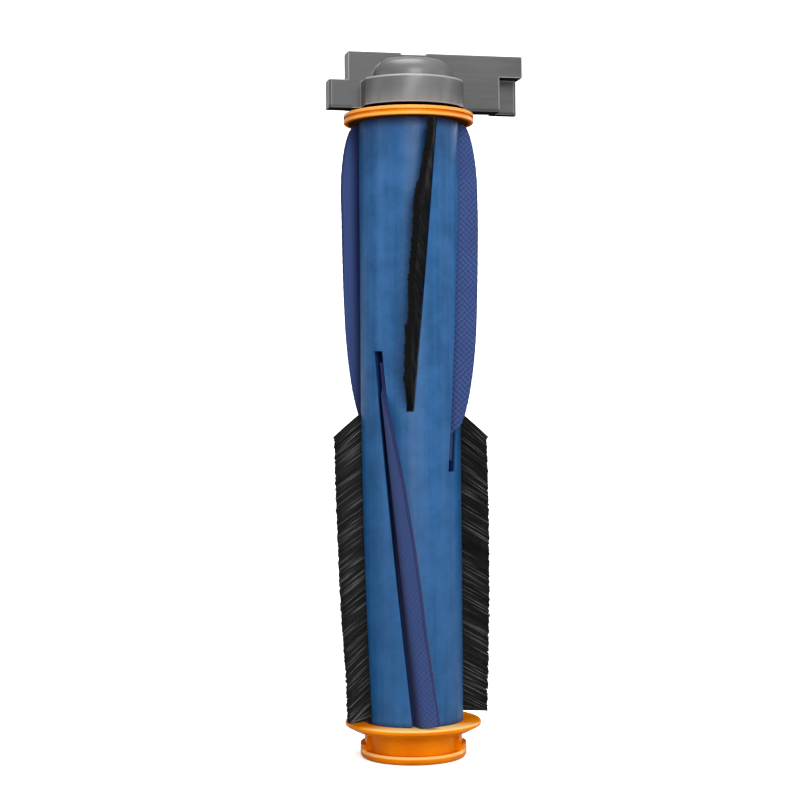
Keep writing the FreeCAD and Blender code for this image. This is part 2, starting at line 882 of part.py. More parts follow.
def make_idle_cap():
    """The idle end: a grooved flange, a plug for the drum's bore and a boss round the pin."""
    body = doc.addObject("PartDesign::Body", "idle_end_cap")
    flange = size["idle_flange_radius"]
    floor = flange - size["idle_groove_depth"]
    middle = drum_top + size["idle_flange_thickness"] / 2
    groove_bottom = middle - size["idle_groove_width"] / 2
    groove_top = middle + size["idle_groove_width"] / 2
    plug_bottom = drum_top - size["plug_length"]
    base = turn(body, "idle_cap_turning", [
        (0, plug_bottom),
        (plug_radius, plug_bottom),
        (plug_radius, drum_top),
        (flange, drum_top),
        (flange, groove_bottom),
        (floor, groove_bottom),
        (floor, groove_top),
        (flange, groove_top),
        (flange, idle_flange_top),
        (size["boss_radius"], idle_flange_top),
        (size["boss_radius"], boss_top),
        (0, boss_top),
    ])
    edges = circle_edges(base.Shape, flange, drum_top)
    edges += circle_edges(base.Shape, flange, idle_flange_top)
    fillet(body, "idle_flange_edges", base, size["idle_flange_rounding"], edges)
    pin_room = size["pin_radius"] + size["seat_clearance"]
    pin_bottom = plug_bottom + size["plug_floor"]
    turn(body, "pin_bore", [
        (0, pin_bottom),
        (pin_room, pin_bottom),
        (pin_room, boss_top),
        (0, boss_top),
    ], subtract=True)
    spots = screw_spots(idle_screw_angles)
    shank = size["screw_radius"] + size["seat_clearance"]
    head = size["screw_head_radius"] + size["seat_clearance"]
    head_seat = idle_flange_top - size["screw_head_height"]
    bored(body, "idle_screw_holes", shank, spots, drum_top, size["idle_flange_thickness"])
    bored(body, "idle_screw_seats", head, spots, head_seat, size["screw_head_height"])
    finish(body, "idle_end_cap")


def make_pin():
    """The steel axle pin, grooved for its clip and chamfered at both ends."""
    body = doc.addObject("PartDesign::Body", "axle_pin")
    bottom = drum_top - size["plug_length"] + size["plug_floor"]
    radius = size["pin_radius"]
    chamfer = size["pin_chamfer"]
    groove = size["clip_groove_radius"]
    turn(body, "pin_turning", [
        (0, bottom),
        (radius - chamfer, bottom),
        (radius, bottom + chamfer),
        (radius, clip_bottom),
        (groove, clip_bottom),
        (groove, clip_top + size["race_clearance"]),
        (radius, clip_top + size["race_clearance"]),
        (radius, pin_top - chamfer),
        (radius - chamfer, pin_top),
        (0, pin_top),
    ])
    finish(body, "axle_pin")


def make_screws(name, angles, head_seat, upward):
    """A cap's two screws as one group, each a plain shank with a flat head."""
    solids = []
    for index, (across, along) in enumerate(screw_spots(angles)):
        tag = f"{name}_{index + 1}"
        length = size["screw_length"] - size["seat_clearance"]
        reach = drum_bottom - head_seat if upward else head_seat - drum_top
        shank_length = length + reach
        shank_bottom = head_seat if upward else head_seat - shank_length
        head_bottom = head_seat - size["screw_head_height"] if upward else head_seat
        shank = cylinder(f"{tag}_shank", size["screw_radius"], shank_length, across, along, shank_bottom)
        head = cylinder(
            f"{tag}_head", size["screw_head_radius"], size["screw_head_height"], across, along, head_bottom)
        solids.append(fuse(tag, [shank, head]))
    group = doc.addObject("Part::Compound", name)
    group.Links = solids
    finish(group, name)


def tube(name, outer, inner, height, z):
    """A plain ring of rectangular section."""
    outside = cylinder(f"{name}_outside", outer, height, z=z)
    inside = cylinder(f"{name}_inside", inner, height, z=z)
    return cut(name, outside, [inside])


def make_bearing():
    """A deep-groove ball bearing in pieces: two rings, balls, a cage and two shields."""
    width = size["bearing_width"]
    pin_room = size["pin_radius"] + size["seat_clearance"]
    race = size["ball_radius"] + size["race_clearance"]
    seat_depth = size["shield_seat_depth"]
    seat = size["shield_seat_radius"]

    outer_bore = size["outer_ring_bore_radius"]
    outer = tube("outer_ring", size["bearing_radius"], outer_bore, width, bearing_bottom)
    outer_tools = [
        torus("outer_race", pitch_radius, race, bearing_middle),
        cylinder("lower_shield_seat", seat, seat_depth, z=bearing_bottom),
        cylinder("upper_shield_seat", seat, seat_depth, z=bearing_top - seat_depth),
    ]
    finish(cut("outer_ring_raceway", outer, outer_tools), "bearing_outer_ring")

    inner = tube("inner_ring", size["inner_ring_radius"], pin_room, width, bearing_bottom)
    race_ring = torus("inner_race", pitch_radius, race, bearing_middle)
    finish(cut("inner_ring_raceway", inner, [race_ring]), "bearing_inner_ring")

    cage_bottom = bearing_middle - size["cage_height"] / 2
    cage_inside = size["cage_radius"] - size["cage_wall"]
    cage = tube("cage", size["cage_radius"], cage_inside, size["cage_height"], cage_bottom)
    balls = []
    pockets = []
    for index in range(BALLS):
        angle = WHOLE_TURN / BALLS * index
        across, along = around(pitch_radius, angle)
        balls.append(sphere(f"ball_{index + 1}", size["ball_radius"], across, along, bearing_middle))
        pocket = cylinder(f"pocket_{index + 1}", race, size["bearing_radius"], z=bearing_middle)
        outward = Vector(math.cos(math.radians(angle)), math.sin(math.radians(angle)), 0)
        pocket.Placement.Rotation = Rotation(Vector(0, 0, 1), outward)
        pockets.append(pocket)
    group = doc.addObject("Part::Compound", "bearing_balls")
    group.Links = balls
    finish(group, "bearing_balls")
    finish(cut("cage_pockets", cage, pockets), "bearing_cage")

    shield = seat - size["seat_clearance"]
    thickness = size["shield_thickness"]
    inset = (seat_depth - thickness) / 2
    levels = {
        "bearing_lower_shield": bearing_bottom + inset,
        "bearing_upper_shield": bearing_top - seat_depth + inset,
    }
    for name, level in levels.items():
        finish(tube(name, shield, size["shield_bore_radius"], thickness, level), name)


def make_shim():
    """The thin washer between the cap's boss and the bearing's inner ring."""
    pin_room = size["pin_radius"] + size["seat_clearance"]
    finish(tube("shim", size["boss_radius"], pin_room, size["shim_thickness"], boss_top), "shim_washer")


def make_clip():
    """The retaining clip in the pin's groove, open on one side."""
    groove = size["clip_groove_radius"] + size["seat_clearance"]
    ring = tube("clip_ring", size["clip_radius"], groove, size["clip_thickness"], clip_bottom)
    half = size["clip_mouth_width"] / 2
    mouth = box("clip_mouth", (0, size["clip_radius"]), (-half, half), (clip_bottom, clip_top))
    finish(cut("clip_opening", ring, [mouth]), "retaining_clip")


def make_felt():
    """The felt ring that keeps hair out of the bearing."""
    bottom = block_bottom + size["felt_inset"]
    height = bearing_bottom - size["race_clearance"] - bottom
    outer = size["bearing_radius"] - size["seat_clearance"]
    finish(tube("felt", outer, size["felt_bore_radius"], height, bottom), "felt_seal")


def is_upright_corner(edge, half_width):
    """Whether an edge of the hub is one of its upright corners."""
    upright = edge.BoundBox.ZLength > edge.BoundBox.XLength + edge.BoundBox.YLength
    return upright and is_at(abs(edge.BoundBox.XMin), half_width)


def is_hub_rim(edge, level):
    """Whether an edge lies level at the hub's rounded top."""
    return is_at(edge.BoundBox.ZLength, 0) and is_at(edge.BoundBox.ZMin, level)


def is_shoulder(edge, level):
    """Whether an edge lies along Y at a level, as the dome's two top corners do."""
    return is_hub_rim(edge, level) and is_at(edge.BoundBox.XLength, 0)


def is_upright_edge(edge, x, y):
    """Whether an edge stands upright at the given plan place."""
    bounds = edge.BoundBox
    upright = bounds.ZLength > bounds.XLength + bounds.YLength
    return upright and is_at(bounds.XMin, x) and is_at(bounds.YMin, y)


def make_hub():
    """The hub round the bearing: a flat-sided round tier under a flat-sided dome, cut flat behind."""
    half = size["hub_half_width"]
    reach = size["hub_radius"] + OVERCUT
    back = size["hub_back"]
    tier_top = block_bottom + size["hub_height"]
    dome_top = block_bottom + size["dome_height"]
    round_tier = cylinder("hub_round", size["hub_radius"], size["hub_height"], z=block_bottom)
    tier_limit = box("hub_sides", (-half, half), (-reach, back), (block_bottom, tier_top))
    tier = common("hub_tier", round_tier, tier_limit)
    tier = rounded(
        "hub_corners", tier, size["hub_corner_rounding"], lambda edge: is_upright_corner(edge, half))
    tier = rounded(
        "hub_rim", tier, size["hub_edge_rounding"], lambda edge: is_hub_rim(edge, tier_top))
    dome_half = size["dome_half_width"]
    dome_round = cylinder("dome_round", size["dome_radius"], size["dome_height"], z=block_bottom)
    dome_round = rounded(
        "dome_top", dome_round, size["dome_rounding"], lambda edge: is_hub_rim(edge, dome_top))
    dome_limit = box("dome_sides", (-dome_half, dome_half), (-reach, back), (block_bottom, dome_top))
    dome_limit = rounded(
        "dome_shoulders", dome_limit, size["dome_rounding"], lambda edge: is_shoulder(edge, dome_top))
    return [tier, common("hub_dome", dome_round, dome_limit)]


def make_end_block():
    """The end block: a plate with a tab and a handle, ribbed behind, and the hub."""
    front = -size["plate_front"]
    plate_back = front + size["plate_thickness"]
    left, right = -size["plate_left"], size["plate_right"]
    handle_back = front + size["handle_depth"]
    handle_bottom = block_top - size["handle_height"]
    handle_right = right + size["handle_reach"]
    tab_left = left - size["tab_reach"]
    tab_back = front + size["tab_thickness"]
    tab_top = block_bottom + size["tab_height"]
    column_right = right + size["column_width"]
    column_front = front + size["column_setback"]
    tall = (block_bottom, block_top)
    tab = box("tab", (tab_left, left + OVERCUT), (front, tab_back), (block_bottom, tab_top))
    column = box("column", (right - OVERCUT, column_right), (column_front, handle_back), tall)
    solids = [
        box("plate", (left, right), (front, plate_back), tall),
        box("handle", (right - OVERCUT, handle_right), (front, handle_back), (handle_bottom, block_top)),
        chamfered(
            "tab_edges", tab, size["tab_chamfer"],
            lambda edge: is_upright_edge(edge, tab_left, front)),
        chamfered(
            "column_edges", column, size["column_chamfer"],
            lambda edge: is_upright_edge(edge, column_right, column_front)),
    ]
    whole = fuse("block_body", solids + make_hub())
    seat = size["bearing_radius"] + size["seat_clearance"]
    pocket_height = bearing_top + size["clip_pocket_height"] - block_bottom
    hub = size["hub_radius"]
    wall = size["block_wall"]
    notch_bottom = block_top - size["notch_depth"]
    tools = [
        cylinder("bearing_seat", seat, bearing_top - block_bottom, z=block_bottom),
        cylinder("clip_pocket", size["clip_pocket_radius"], pocket_height, z=block_bottom),
        box("notch", (-size["notch_left"], size["notch_right"]), (-hub, hub), (notch_bottom, block_top)),
    ]
    pocket_across = (size["hub_half_width"] + wall, right - wall)
    pocket_deep = (front + wall, plate_back)
    rib_bottom = (block_bottom + block_top - size["rib_thickness"]) / 2
    rib_top = rib_bottom + size["rib_thickness"]
    for name, bottom, top in (
        ("lower_pocket", block_bottom + wall, rib_bottom),
        ("upper_pocket", rib_top, block_top - wall),
    ):
        tools.append(box(name, pocket_across, pocket_deep, (bottom, top)))
    finish(cut("end_block", whole, tools), "end_block")


def check_objects():
    """Stop if any object failed or any sub-part is not a valid solid."""
    for thing in doc.Objects:
        if "Invalid" in thing.State or "Error" in thing.State:
            raise RuntimeError(f"{thing.Label} failed: {thing.State}")
    for label, thing in nodes.items():
        shape = thing.Shape
        if shape.isNull() or not shape.isValid() or not shape.Solids:
            raise RuntimeError(f"{label} has no valid solid")


def write_parts():
    """Write each sub-part to a file named after its node."""
    os.makedirs("parts", exist_ok=True)
    for label, thing in nodes.items():
        thing.Shape.exportStep(f"parts/{label}.step")


def main():
    make_drum()
    for strip in BRISTLE_STRIPS:
        make_backing(strip)
        make_bristles(strip)
    for strip in FABRIC_STRIPS:
        make_blade(strip)
    make_drive_cap()
    make_drive_bush()
    make_screws("drive_cap_screws", drive_screw_angles, size["cup_depth"], upward=True)
    make_idle_cap()
    idle_seat = idle_flange_top - size["screw_head_height"]
    make_screws("idle_cap_screws", idle_screw_angles, idle_seat, upward=False)
    make_pin()
    make_shim()
    make_bearing()
    make_clip()
    make_felt()
    make_end_block()
    doc.recompute()
    check_objects()
    write_parts()


main()
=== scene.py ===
import json
import math

import bpy
import numpy as np
from mathutils import Matrix, Vector


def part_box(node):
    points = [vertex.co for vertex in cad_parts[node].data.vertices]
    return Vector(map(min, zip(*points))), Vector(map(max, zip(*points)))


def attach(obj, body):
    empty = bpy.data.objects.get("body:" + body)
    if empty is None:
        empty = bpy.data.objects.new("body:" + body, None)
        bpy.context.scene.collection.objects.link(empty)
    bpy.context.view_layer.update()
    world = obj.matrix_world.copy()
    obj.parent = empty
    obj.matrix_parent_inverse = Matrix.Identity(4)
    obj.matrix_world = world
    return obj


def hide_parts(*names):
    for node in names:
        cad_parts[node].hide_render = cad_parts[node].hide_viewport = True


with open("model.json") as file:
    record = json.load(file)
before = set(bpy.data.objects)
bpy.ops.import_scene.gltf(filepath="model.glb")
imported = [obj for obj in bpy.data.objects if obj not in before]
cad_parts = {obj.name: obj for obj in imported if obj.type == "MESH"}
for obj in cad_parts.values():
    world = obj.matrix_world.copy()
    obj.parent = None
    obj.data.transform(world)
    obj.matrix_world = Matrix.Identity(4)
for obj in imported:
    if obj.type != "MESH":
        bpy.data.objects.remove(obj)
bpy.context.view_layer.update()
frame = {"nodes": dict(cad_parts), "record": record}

# Lengths are in millimetres, and this brings them to the frame's metres. The stage, the lights, the
# camera's clipping and the noises' scales are given in metres
MM = 0.001

# Places read from the frame; the hub's height is the one in the part's source
HUB_HEIGHT = 6.9
drum_low, drum_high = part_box("drum")
DRUM_RADIUS = drum_high.x / MM
DRUM_BOTTOM = drum_low.z / MM
DRUM_TOP = drum_high.z / MM
CHEVRON_LEVEL = (
    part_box("bristle_backing_lower_left")[1].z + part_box("bristle_backing_upper_front")[0].z
) / 2 / MM
END_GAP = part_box("bristle_backing_lower_left")[0].z / MM - DRUM_BOTTOM
BLOCK_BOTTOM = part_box("end_block")[0].z / MM
TIER_TOP = BLOCK_BOTTOM + HUB_HEIGHT

# The strips' layout, as in the part's source: angles in degrees, twists in degrees per millimetre
LOWER_START = 167.5
UPPER_START = 256.3
LOWER_SPACING = 57.5
UPPER_SPACING = 60.0
LOWER_BRISTLE_TWIST = 0.41
LOWER_BLADE_TWIST = 0.48
UPPER_TWIST = 0.42
HALF_TURN = 180.0
# A lean in degrees at a distance along a strip
UPRIGHT = ((0.0, 0.0),)

# Bristles: each filament runs out of the slot, leans sideways and rakes towards the drum's end
FILAMENTS = 6600
FILAMENT_RADIUS = 0.105
FILAMENT_TAPER = 0.25
FILAMENT_SIDES = 3
FILAMENT_STEPS = (0.0, 0.16, 0.45, 0.74, 1.0)
BRISTLE_SEED = 11
ROOT_DEPTH = 1.2
BRISTLE_REACH = 6.8
WALL_HALF_THICKNESS = 0.65
WALL_REACH = 0.3
WALL_SHARE = 0.9
WALL_GAP = 0.1
WALL_STEPS = 60
ROOT_SHARE = 0.88
TIP_SPREAD = 1.25
RAKE = 3.9
EXTRA_RAKE = 2.4
EXTRA_RAKE_SHARE = 0.15
DROOP = 0.08
RING_TILT = 0.4
FIRST_GAP = 0.2
FLANGE_GAP = 1.1
# The first filaments of a strip reach further out, over a short run
FIRST_REACH = 0.4
FIRST_RUN = 0.3
# How much single filaments and clusters of them stray, as standard deviations
CLUSTER_PITCH = 0.4
RAKE_STRAY, CLUSTER_RAKE_STRAY = 0.06, 0.08
REACH_STRAY, CLUSTER_REACH_STRAY = 0.07, 0.06
SIDE_STRAY, CLUSTER_SIDE_STRAY = 0.04, 0.03
# Ripples of the tips' outline: height, and millimetres per radian
TIP_RIPPLE = (0.06, 0.55)
FINE_TIP_RIPPLE = (0.05, 0.23)
# A few filaments on the strip's flanks get a painted highlight: where along them, how strongly and over
# what share
HIGHLIT_SHARE = 0.028
HIGHLIGHT_PLACES = (0.1, 1.0)
HIGHLIGHT_STRENGTHS = (0.4, 1.0)
HIGHLIGHT_RUNS = (0.2, 0.45)
# The others have a faint tone each, whose spread is a beta distribution; all fade in from the root,
# painted shade towards the slot
FAINT_SPREAD = (1.5, 5.0)
FAINT_SHADE = 0.25
SHADE_RISE = 4.0
# How much of the painted highlights and faint tones the upper strips show
UPPER_LIT_SHARE = 0.2
# The upper strips' left side bulges in steps, whose crests and troughs vary
UPPER_BUMPS = 0.35
BUMP_PITCH = 2.2
BUMP_SHIFT = 0.3
CRESTS = (0.6, 1.0)
TROUGHS = (0.0, 0.3)

# Fabric blades: the cloth lies round a core rod in its channel and comes out of the slot in two layers
CLOTH_THICKNESS = 0.5
LAYER_OFFSET = 0.26
BEND_RADIUS = 1.4
BEAD_DEPTH = 2.8
BEAD_LINE_RADIUS = 1.3
BEAD_START = 12.2
SUNK_DEPTH = 0.5
BLADE_START = 4.6
SHORT_REACH = 0.55
BLADE_SEED = 31
ROW_PITCH = 0.8
ROW_GAP = 0.5
RISING_ROWS = 46
FALLING_ROWS = 22
# Gaps between the evenly spaced rows and the curved ends before and after them
MIDDLE_GAPS = (0.7, 0.3)
BISECTIONS = 30
LAYER_COLUMNS = 20
BEAD_COLUMNS = 16
HEM_SHADE = 0.8
# Waves along a blade: degrees of its lean, and millimetres per radian
LONG_SWAY = (1.4, 5.1)
SHORT_SWAY = (1.0, 2.3)
CURL = (3.0, 7.7)
# The loose end's flutter in degrees, the run over which it fades, and its radians per millimetre
FLUTTER = 5.0
FLUTTER_RUN = 5.0
FLUTTER_RATE = 1.6
# The outer edge's unevenness, and its radians per millimetre
FRAY = 0.03
FRAY_RATE = 2.9
# The cloth's slanted ribs and its threads across and along
RIB_PITCH = 1.4
THREAD_PITCHES = (0.36, 0.3)

# Rounded edges of the end block: only edges sharper than the angle, in degrees, are rounded
BLOCK_EDGE = 0.35
BLOCK_EDGE_ANGLE = 35.0
FLAT_ANGLE = 0.6
WELD_DISTANCE = 0.001

# The middle part of a noise, which is stretched to the whole way between two colours
TONE_RANGE = (0.38, 0.62)

# Where the drum grows darker towards its lower end, and where its painted shade begins and ends: levels
# from the bottom, and radii
LOWER_END_LEVELS = (30.0, 120.0)
BROAD_FLANGE_SHADOW_LEVELS = (DRUM_TOP - 14.0, DRUM_TOP - 2.0)
FLANGE_SHADOW_LEVELS = (DRUM_TOP - 3.2, DRUM_TOP - 0.2)
DRUM_FOOT_SHADE_LEVELS = (DRUM_BOTTOM, DRUM_BOTTOM + 1.2)
SLOT_SHADE_RADII = (DRUM_RADIUS - 0.5, DRUM_RADIUS - 0.1)

# Where the caps get painted highlights and painted shade; depths are along Y, in front where they are
# negative
RIM_HIGHLIGHT_LEVELS = (1.55, 2.3)
RIM_HIGHLIGHT_RADII = (12.6, 14.0)
LOWER_FLANGE_HIGHLIGHT_LEVELS = (DRUM_BOTTOM - 0.35, DRUM_BOTTOM + 0.3)
LOWER_FLANGE_HIGHLIGHT_DEPTHS = (-13.0, -7.0)
UPPER_RIDGE_HIGHLIGHT_LEVELS = (
    (DRUM_TOP + 0.1, DRUM_TOP + 0.75),
    (DRUM_TOP + 1.55, DRUM_TOP + 2.4),
)
BETWEEN_CAPS_LEVELS = (100.0, 110.0)
NEAR_DRUM_RADII = (15.0, 16.4)

# Where the end block gets painted highlights and painted shade; sides are along X, and the depths end
# just before its plate
LEFT_SHADE_SIDES = (-19.0, -2.0)
BEFORE_PLATE_DEPTHS = (-3.0, -2.3)
TIER_HIGHLIGHT_LEVELS = (TIER_TOP - 0.55, TIER_TOP + 0.1)
BLOCK_FOOT_SHADE_LEVELS = (BLOCK_BOTTOM + 0.4, BLOCK_BOTTOM + 1.0)
BLOCK_FOOT_SHADE_RADII = (14.6, 15.4)

# Where the blades get painted shade: near the slots, and more so at the left
BLADE_SHADOW_RADII = (13.2, 15.0)
BLADE_SHADOW_SIDES = (-2.0, 7.0)

# The view of the photograph
PHOTO_SIDE = 800
FOCAL_PIXELS = 1754.0
SENSOR = 36.0
VIEW_AZIMUTH = -12.5
VIEW_DISTANCE = 443.0
VIEW_HEIGHT = 89.8
AXIS_PIXEL = 410.7
ROLL = 0.46


class Strip:
    """One channel line of the drum, from the chevron's point to an end."""

    def __init__(self, name, upper, start, twist, leans=UPRIGHT):
        self.name = name
        self.upper = upper
        self.start = start
        self.twist = twist
        self.leans = np.array(leans)
        self.lit_share = UPPER_LIT_SHARE if upper else 1.0
        self.bumps = UPPER_BUMPS if upper else 0.0
        self.direction = 1 if upper else -1
        self.length = DRUM_TOP - CHEVRON_LEVEL if upper else CHEVRON_LEVEL - DRUM_BOTTOM

    def lean_at(self, distance):
        """The bristles' lean in radians, between the leans given along the strip."""
        return np.radians(np.interp(distance, self.leans[:, 0], self.leans[:, 1]))

    def carry(self, distance, out, side, along=0.0):
        """Row-frame points, in metres, for places given outwards, sideways and along this line."""
        angle = np.radians(self.start + self.twist * np.asarray(distance))
        out, side = np.asarray(out), np.asarray(side)
        level = CHEVRON_LEVEL + self.direction * (np.asarray(distance) + np.asarray(along))
        x = out * np.cos(angle) - side * np.sin(angle)
        y = out * np.sin(angle) + side * np.cos(angle)
        return np.stack(np.broadcast_arrays(x, y, level), axis=-1) * MM


class Blade:
    """The shape of a fabric blade's section and outline."""

    def __init__(self, reach, lean, taper, rounding, shift):
        self.reach = reach
        self.lean = math.radians(lean)
        self.taper = taper
        self.rounding = rounding
        self.shift = shift
        self.join = DRUM_RADIUS - BEAD_DEPTH + math.sqrt(BEAD_LINE_RADIUS ** 2 - LAYER_OFFSET ** 2)
        self.stem = DRUM_RADIUS - self.join
        self.length = self.stem + BEND_RADIUS * self.lean + reach

    def middle_line(self, length, wave=0.0):
        """The middle line from the bead outwards: places outwards and sideways, and direction."""
        if length < self.stem:
            return self.join + length, self.shift * length / self.stem, 0.0
        lean = self.lean + wave
        free = length - self.stem
        angle = min(lean, free / BEND_RADIUS)
        straight = free - BEND_RADIUS * angle
        out = DRUM_RADIUS + BEND_RADIUS * math.sin(angle) + straight * math.cos(angle)
        side = self.shift + BEND_RADIUS * (1 - math.cos(angle)) + straight * math.sin(angle)
        return out, side, angle

    def envelope(self, distance, end):
        """How far from the axis the blade reaches at a place along its strip."""
        if distance < -BLADE_START:
            return DRUM_RADIUS - SUNK_DEPTH
        out, side, _ = self.middle_line(self.length)
        full, short = math.hypot(out, side), DRUM_RADIUS + SHORT_REACH
        rising = min(1.0, (distance + BLADE_START) / self.taper)
        falling = min(1.0, (end - distance) / self.rounding)
        share = min(math.sqrt(1 - (1 - rising) ** 2), math.sqrt(1 - (1 - falling) ** 2))
        return short + (full - short) * share

    def length_within(self, radius):
        """The length at which the middle line is that far from the axis."""
        low, high = 0.0, self.length
        for _ in range(BISECTIONS):
            middle = (low + high) / 2
            out, side, _ = self.middle_line(middle)
            low, high = (middle, high) if math.hypot(out, side) < radius else (low, middle)
        return low

    def rows(self, end):
        """Places along the blade, closer together where its outline curves."""
        quarter = math.pi / 2
        sunk = np.arange(-BEAD_START, -BLADE_START - ROW_GAP, ROW_PITCH)
        rising = -BLADE_START + self.taper * (1 - np.cos(np.linspace(0, quarter, RISING_ROWS)))
        rising = rising[rising < end - self.rounding - ROW_GAP]
        falling = end - self.rounding * (1 - np.cos(np.linspace(quarter, 0, FALLING_ROWS)))
        middle = np.arange(rising[-1] + MIDDLE_GAPS[0], falling[0] - MIDDLE_GAPS[1], ROW_PITCH)
        return np.concatenate([sunk, rising, middle, falling])


# Leans in degrees at distances along a strip, from the middle of the drum
LEFT_LEANS = ((0.0, -5.5), (45.0, -5.5), (60.0, -7.0), (72.0, -4.5))
RIGHT_LEANS = ((0.0, 14.0),)
UPPER_LEANS = (
    (0.0, 0.5), (4.0, 3.0), (12.0, 5.2), (16.5, 7.4), (18.5, 5.4), (28.0, 9.7),
    (40.0, 11.2), (48.0, 13.7), (53.0, 12.0), (64.0, 10.0), (68.0, 11.5), (72.0, 12.5),
)
BRISTLE_STRIPS = [
    Strip("lower_left", False, LOWER_START, LOWER_BRISTLE_TWIST, LEFT_LEANS),
    Strip("lower_right", False, LOWER_START + HALF_TURN, LOWER_BRISTLE_TWIST, RIGHT_LEANS),
    Strip("upper_front", True, UPPER_START, UPPER_TWIST, UPPER_LEANS),
    Strip("upper_rear", True, UPPER_START + HALF_TURN, UPPER_TWIST, UPPER_LEANS),
]
BLADE_STRIPS = [
    Strip("lower_front", False, LOWER_START + LOWER_SPACING, LOWER_BLADE_TWIST),
    Strip("lower_rear", False, LOWER_START + LOWER_SPACING + HALF_TURN, LOWER_BLADE_TWIST),
    Strip("upper_right", True, UPPER_START + UPPER_SPACING, UPPER_TWIST),
    Strip("upper_left", True, UPPER_START + UPPER_SPACING + HALF_TURN, UPPER_TWIST),
]
# How strongly the weave shows at the middle of the drum and at its end
WEAVES = {
    "lower_front": (0.1, 0.45),
    "lower_rear": (0.1, 0.45),
    "upper_right": (0.8, 0.7),
    "upper_left": (0.12, 0.12),
}
UPPER_BLADE = Blade(reach=4.25, lean=30.0, taper=30.0, rounding=18.0, shift=0.0)
LOWER_BLADE = Blade(reach=4.0, lean=66.0, taper=45.0, rounding=1.5, shift=0.65)


class Shader:
    """A material under construction, with short calls for its nodes."""

    def __init__(self, name, **constants):
        self.material = bpy.data.materials.new(name)
        self.material.use_nodes = True
        self.tree = self.material.node_tree
        self.surface = self.tree.nodes["Principled BSDF"]
        for socket, value in constants.items():
            self.surface.inputs[socket.replace("_", " ")].default_value = value

    def node(self, kind, inputs=None, **settings):
        """A node with its settings, and inputs that are values or other nodes' outputs."""
        made = self.tree.nodes.new("ShaderNode" + kind)
        for name, value in settings.items():
            setattr(made, name, value)
        for name, value in (inputs or {}).items():
            if isinstance(value, bpy.types.NodeSocket):
                self.tree.links.new(value, made.inputs[name])
            else:
                made.inputs[name].default_value = value
        return made

    def place(self, scale=(1.0, 1.0, 1.0)):
        """The object's own coordinates, stretched."""
        source = self.node("TexCoord").outputs["Object"]
        return self.node("Mapping", {"Vector": source, "Scale": scale}).outputs["Vector"]

    def split(self, vector):
        """The three parts of a vector."""
        parts = self.node("SeparateXYZ", {"Vector": vector})
        return parts.outputs["X"], parts.outputs["Y"], parts.outputs["Z"]

    def normal(self):
        """The three parts of the surface's smooth direction."""
        return self.split(self.node("NewGeometry").outputs["Normal"])

    def noise(self, scale, detail=2.0, vector=None, roughness=0.5):
        """Noise in blobs of about one over scale, in metres."""
        vector = self.place() if vector is None else vector
        inputs = {"Vector": vector, "Scale": scale, "Detail": detail, "Roughness": roughness}
        return self.node("TexNoise", inputs).outputs["Fac"]

    def spread(self, value, low, high, start=0.3, end=0.7):
        """A value from start to end spread over low to high."""
        inputs = {"Value": value, "From Min": start, "From Max": end, "To Min": low, "To Max": high}
        return self.node("MapRange", inputs).outputs["Result"]

    def fade(self, value, before, after, start, end):
        """From before to after while a length in metres goes from start to end, in millimetres."""
        return self.spread(value, before, after, start * MM, end * MM)

    def math(self, operation, first, second=0.0, third=0.0):
        """Arithmetic on up to three values."""
        inputs = {0: first, 1: second, 2: third}
        return self.node("Math", inputs, operation=operation).outputs["Value"]

    def times(self, first, second):
        """The product of two values."""
        return self.math("MULTIPLY", first, second)

    def mean(self, first, weight, second):
        """The mean of two values, the first with the given weight."""
        return self.math("ADD", self.times(first, weight), self.times(second, 1.0 - weight))

    def most(self, first, *others):
        """The largest of some values."""
        for other in others:
            first = self.math("MAXIMUM", first, other)
        return first

    def wave(self, value, period):
        """A cosine from 0 to 1 of the given period."""
        turned = self.math("MULTIPLY", value, 2 * math.pi / period)
        return self.math("MULTIPLY_ADD", self.math("COSINE", turned), 0.5, 0.5)

    def blend(self, share, first, second):
        """A colour between two colours."""
        # The Mix node has its sockets for colours under these numbers
        return self.node("Mix", {0: share, 6: first, 7: second}, data_type="RGBA").outputs[2]

    def set(self, socket, value):
        """Feed one of the surface's sockets."""
        self.tree.links.new(value, self.surface.inputs[socket])

    def band(self, value, low, high, edge):
        """One where a length lies between two others, given in millimetres, with soft edges."""
        rising = self.fade(value, 0.0, 1.0, low - edge, low + edge)
        falling = self.fade(value, 1.0, 0.0, high - edge, high + edge)
        return self.times(rising, falling)

    def round_place(self):
        """How far a point is from the roller's axis, and its height, in metres."""
        x, y, level = self.split(self.place())
        flat = self.node("CombineXYZ", {"X": x, "Y": y}).outputs["Vector"]
        radius = self.node("VectorMath", {0: flat}, operation="LENGTH").outputs["Value"]
        return radius, level

    def facing(self, low, high):
        """From 0 to 1 while the height of the surface's direction goes from low to high."""
        return self.spread(self.normal()[2], 0.0, 1.0, low, high)

    def bump(self, height, strength, depth):
        """Relief from a height, as deep as depth in millimetres."""
        inputs = {"Height": height, "Strength": strength, "Distance": depth * MM}
        before = self.surface.inputs["Normal"]
        if before.is_linked:
            inputs["Normal"] = before.links[0].from_socket
        self.set("Normal", self.node("Bump", inputs).outputs["Normal"])


def colour(red, green, blue):
    """A linear colour from the 0 to 255 values that a screen shows."""
    def linear(value):
        share = value / 255
        return share / 12.92 if share <= 0.04045 else ((share + 0.055) / 1.055) ** 2.4
    return (linear(red), linear(green), linear(blue), 1.0)


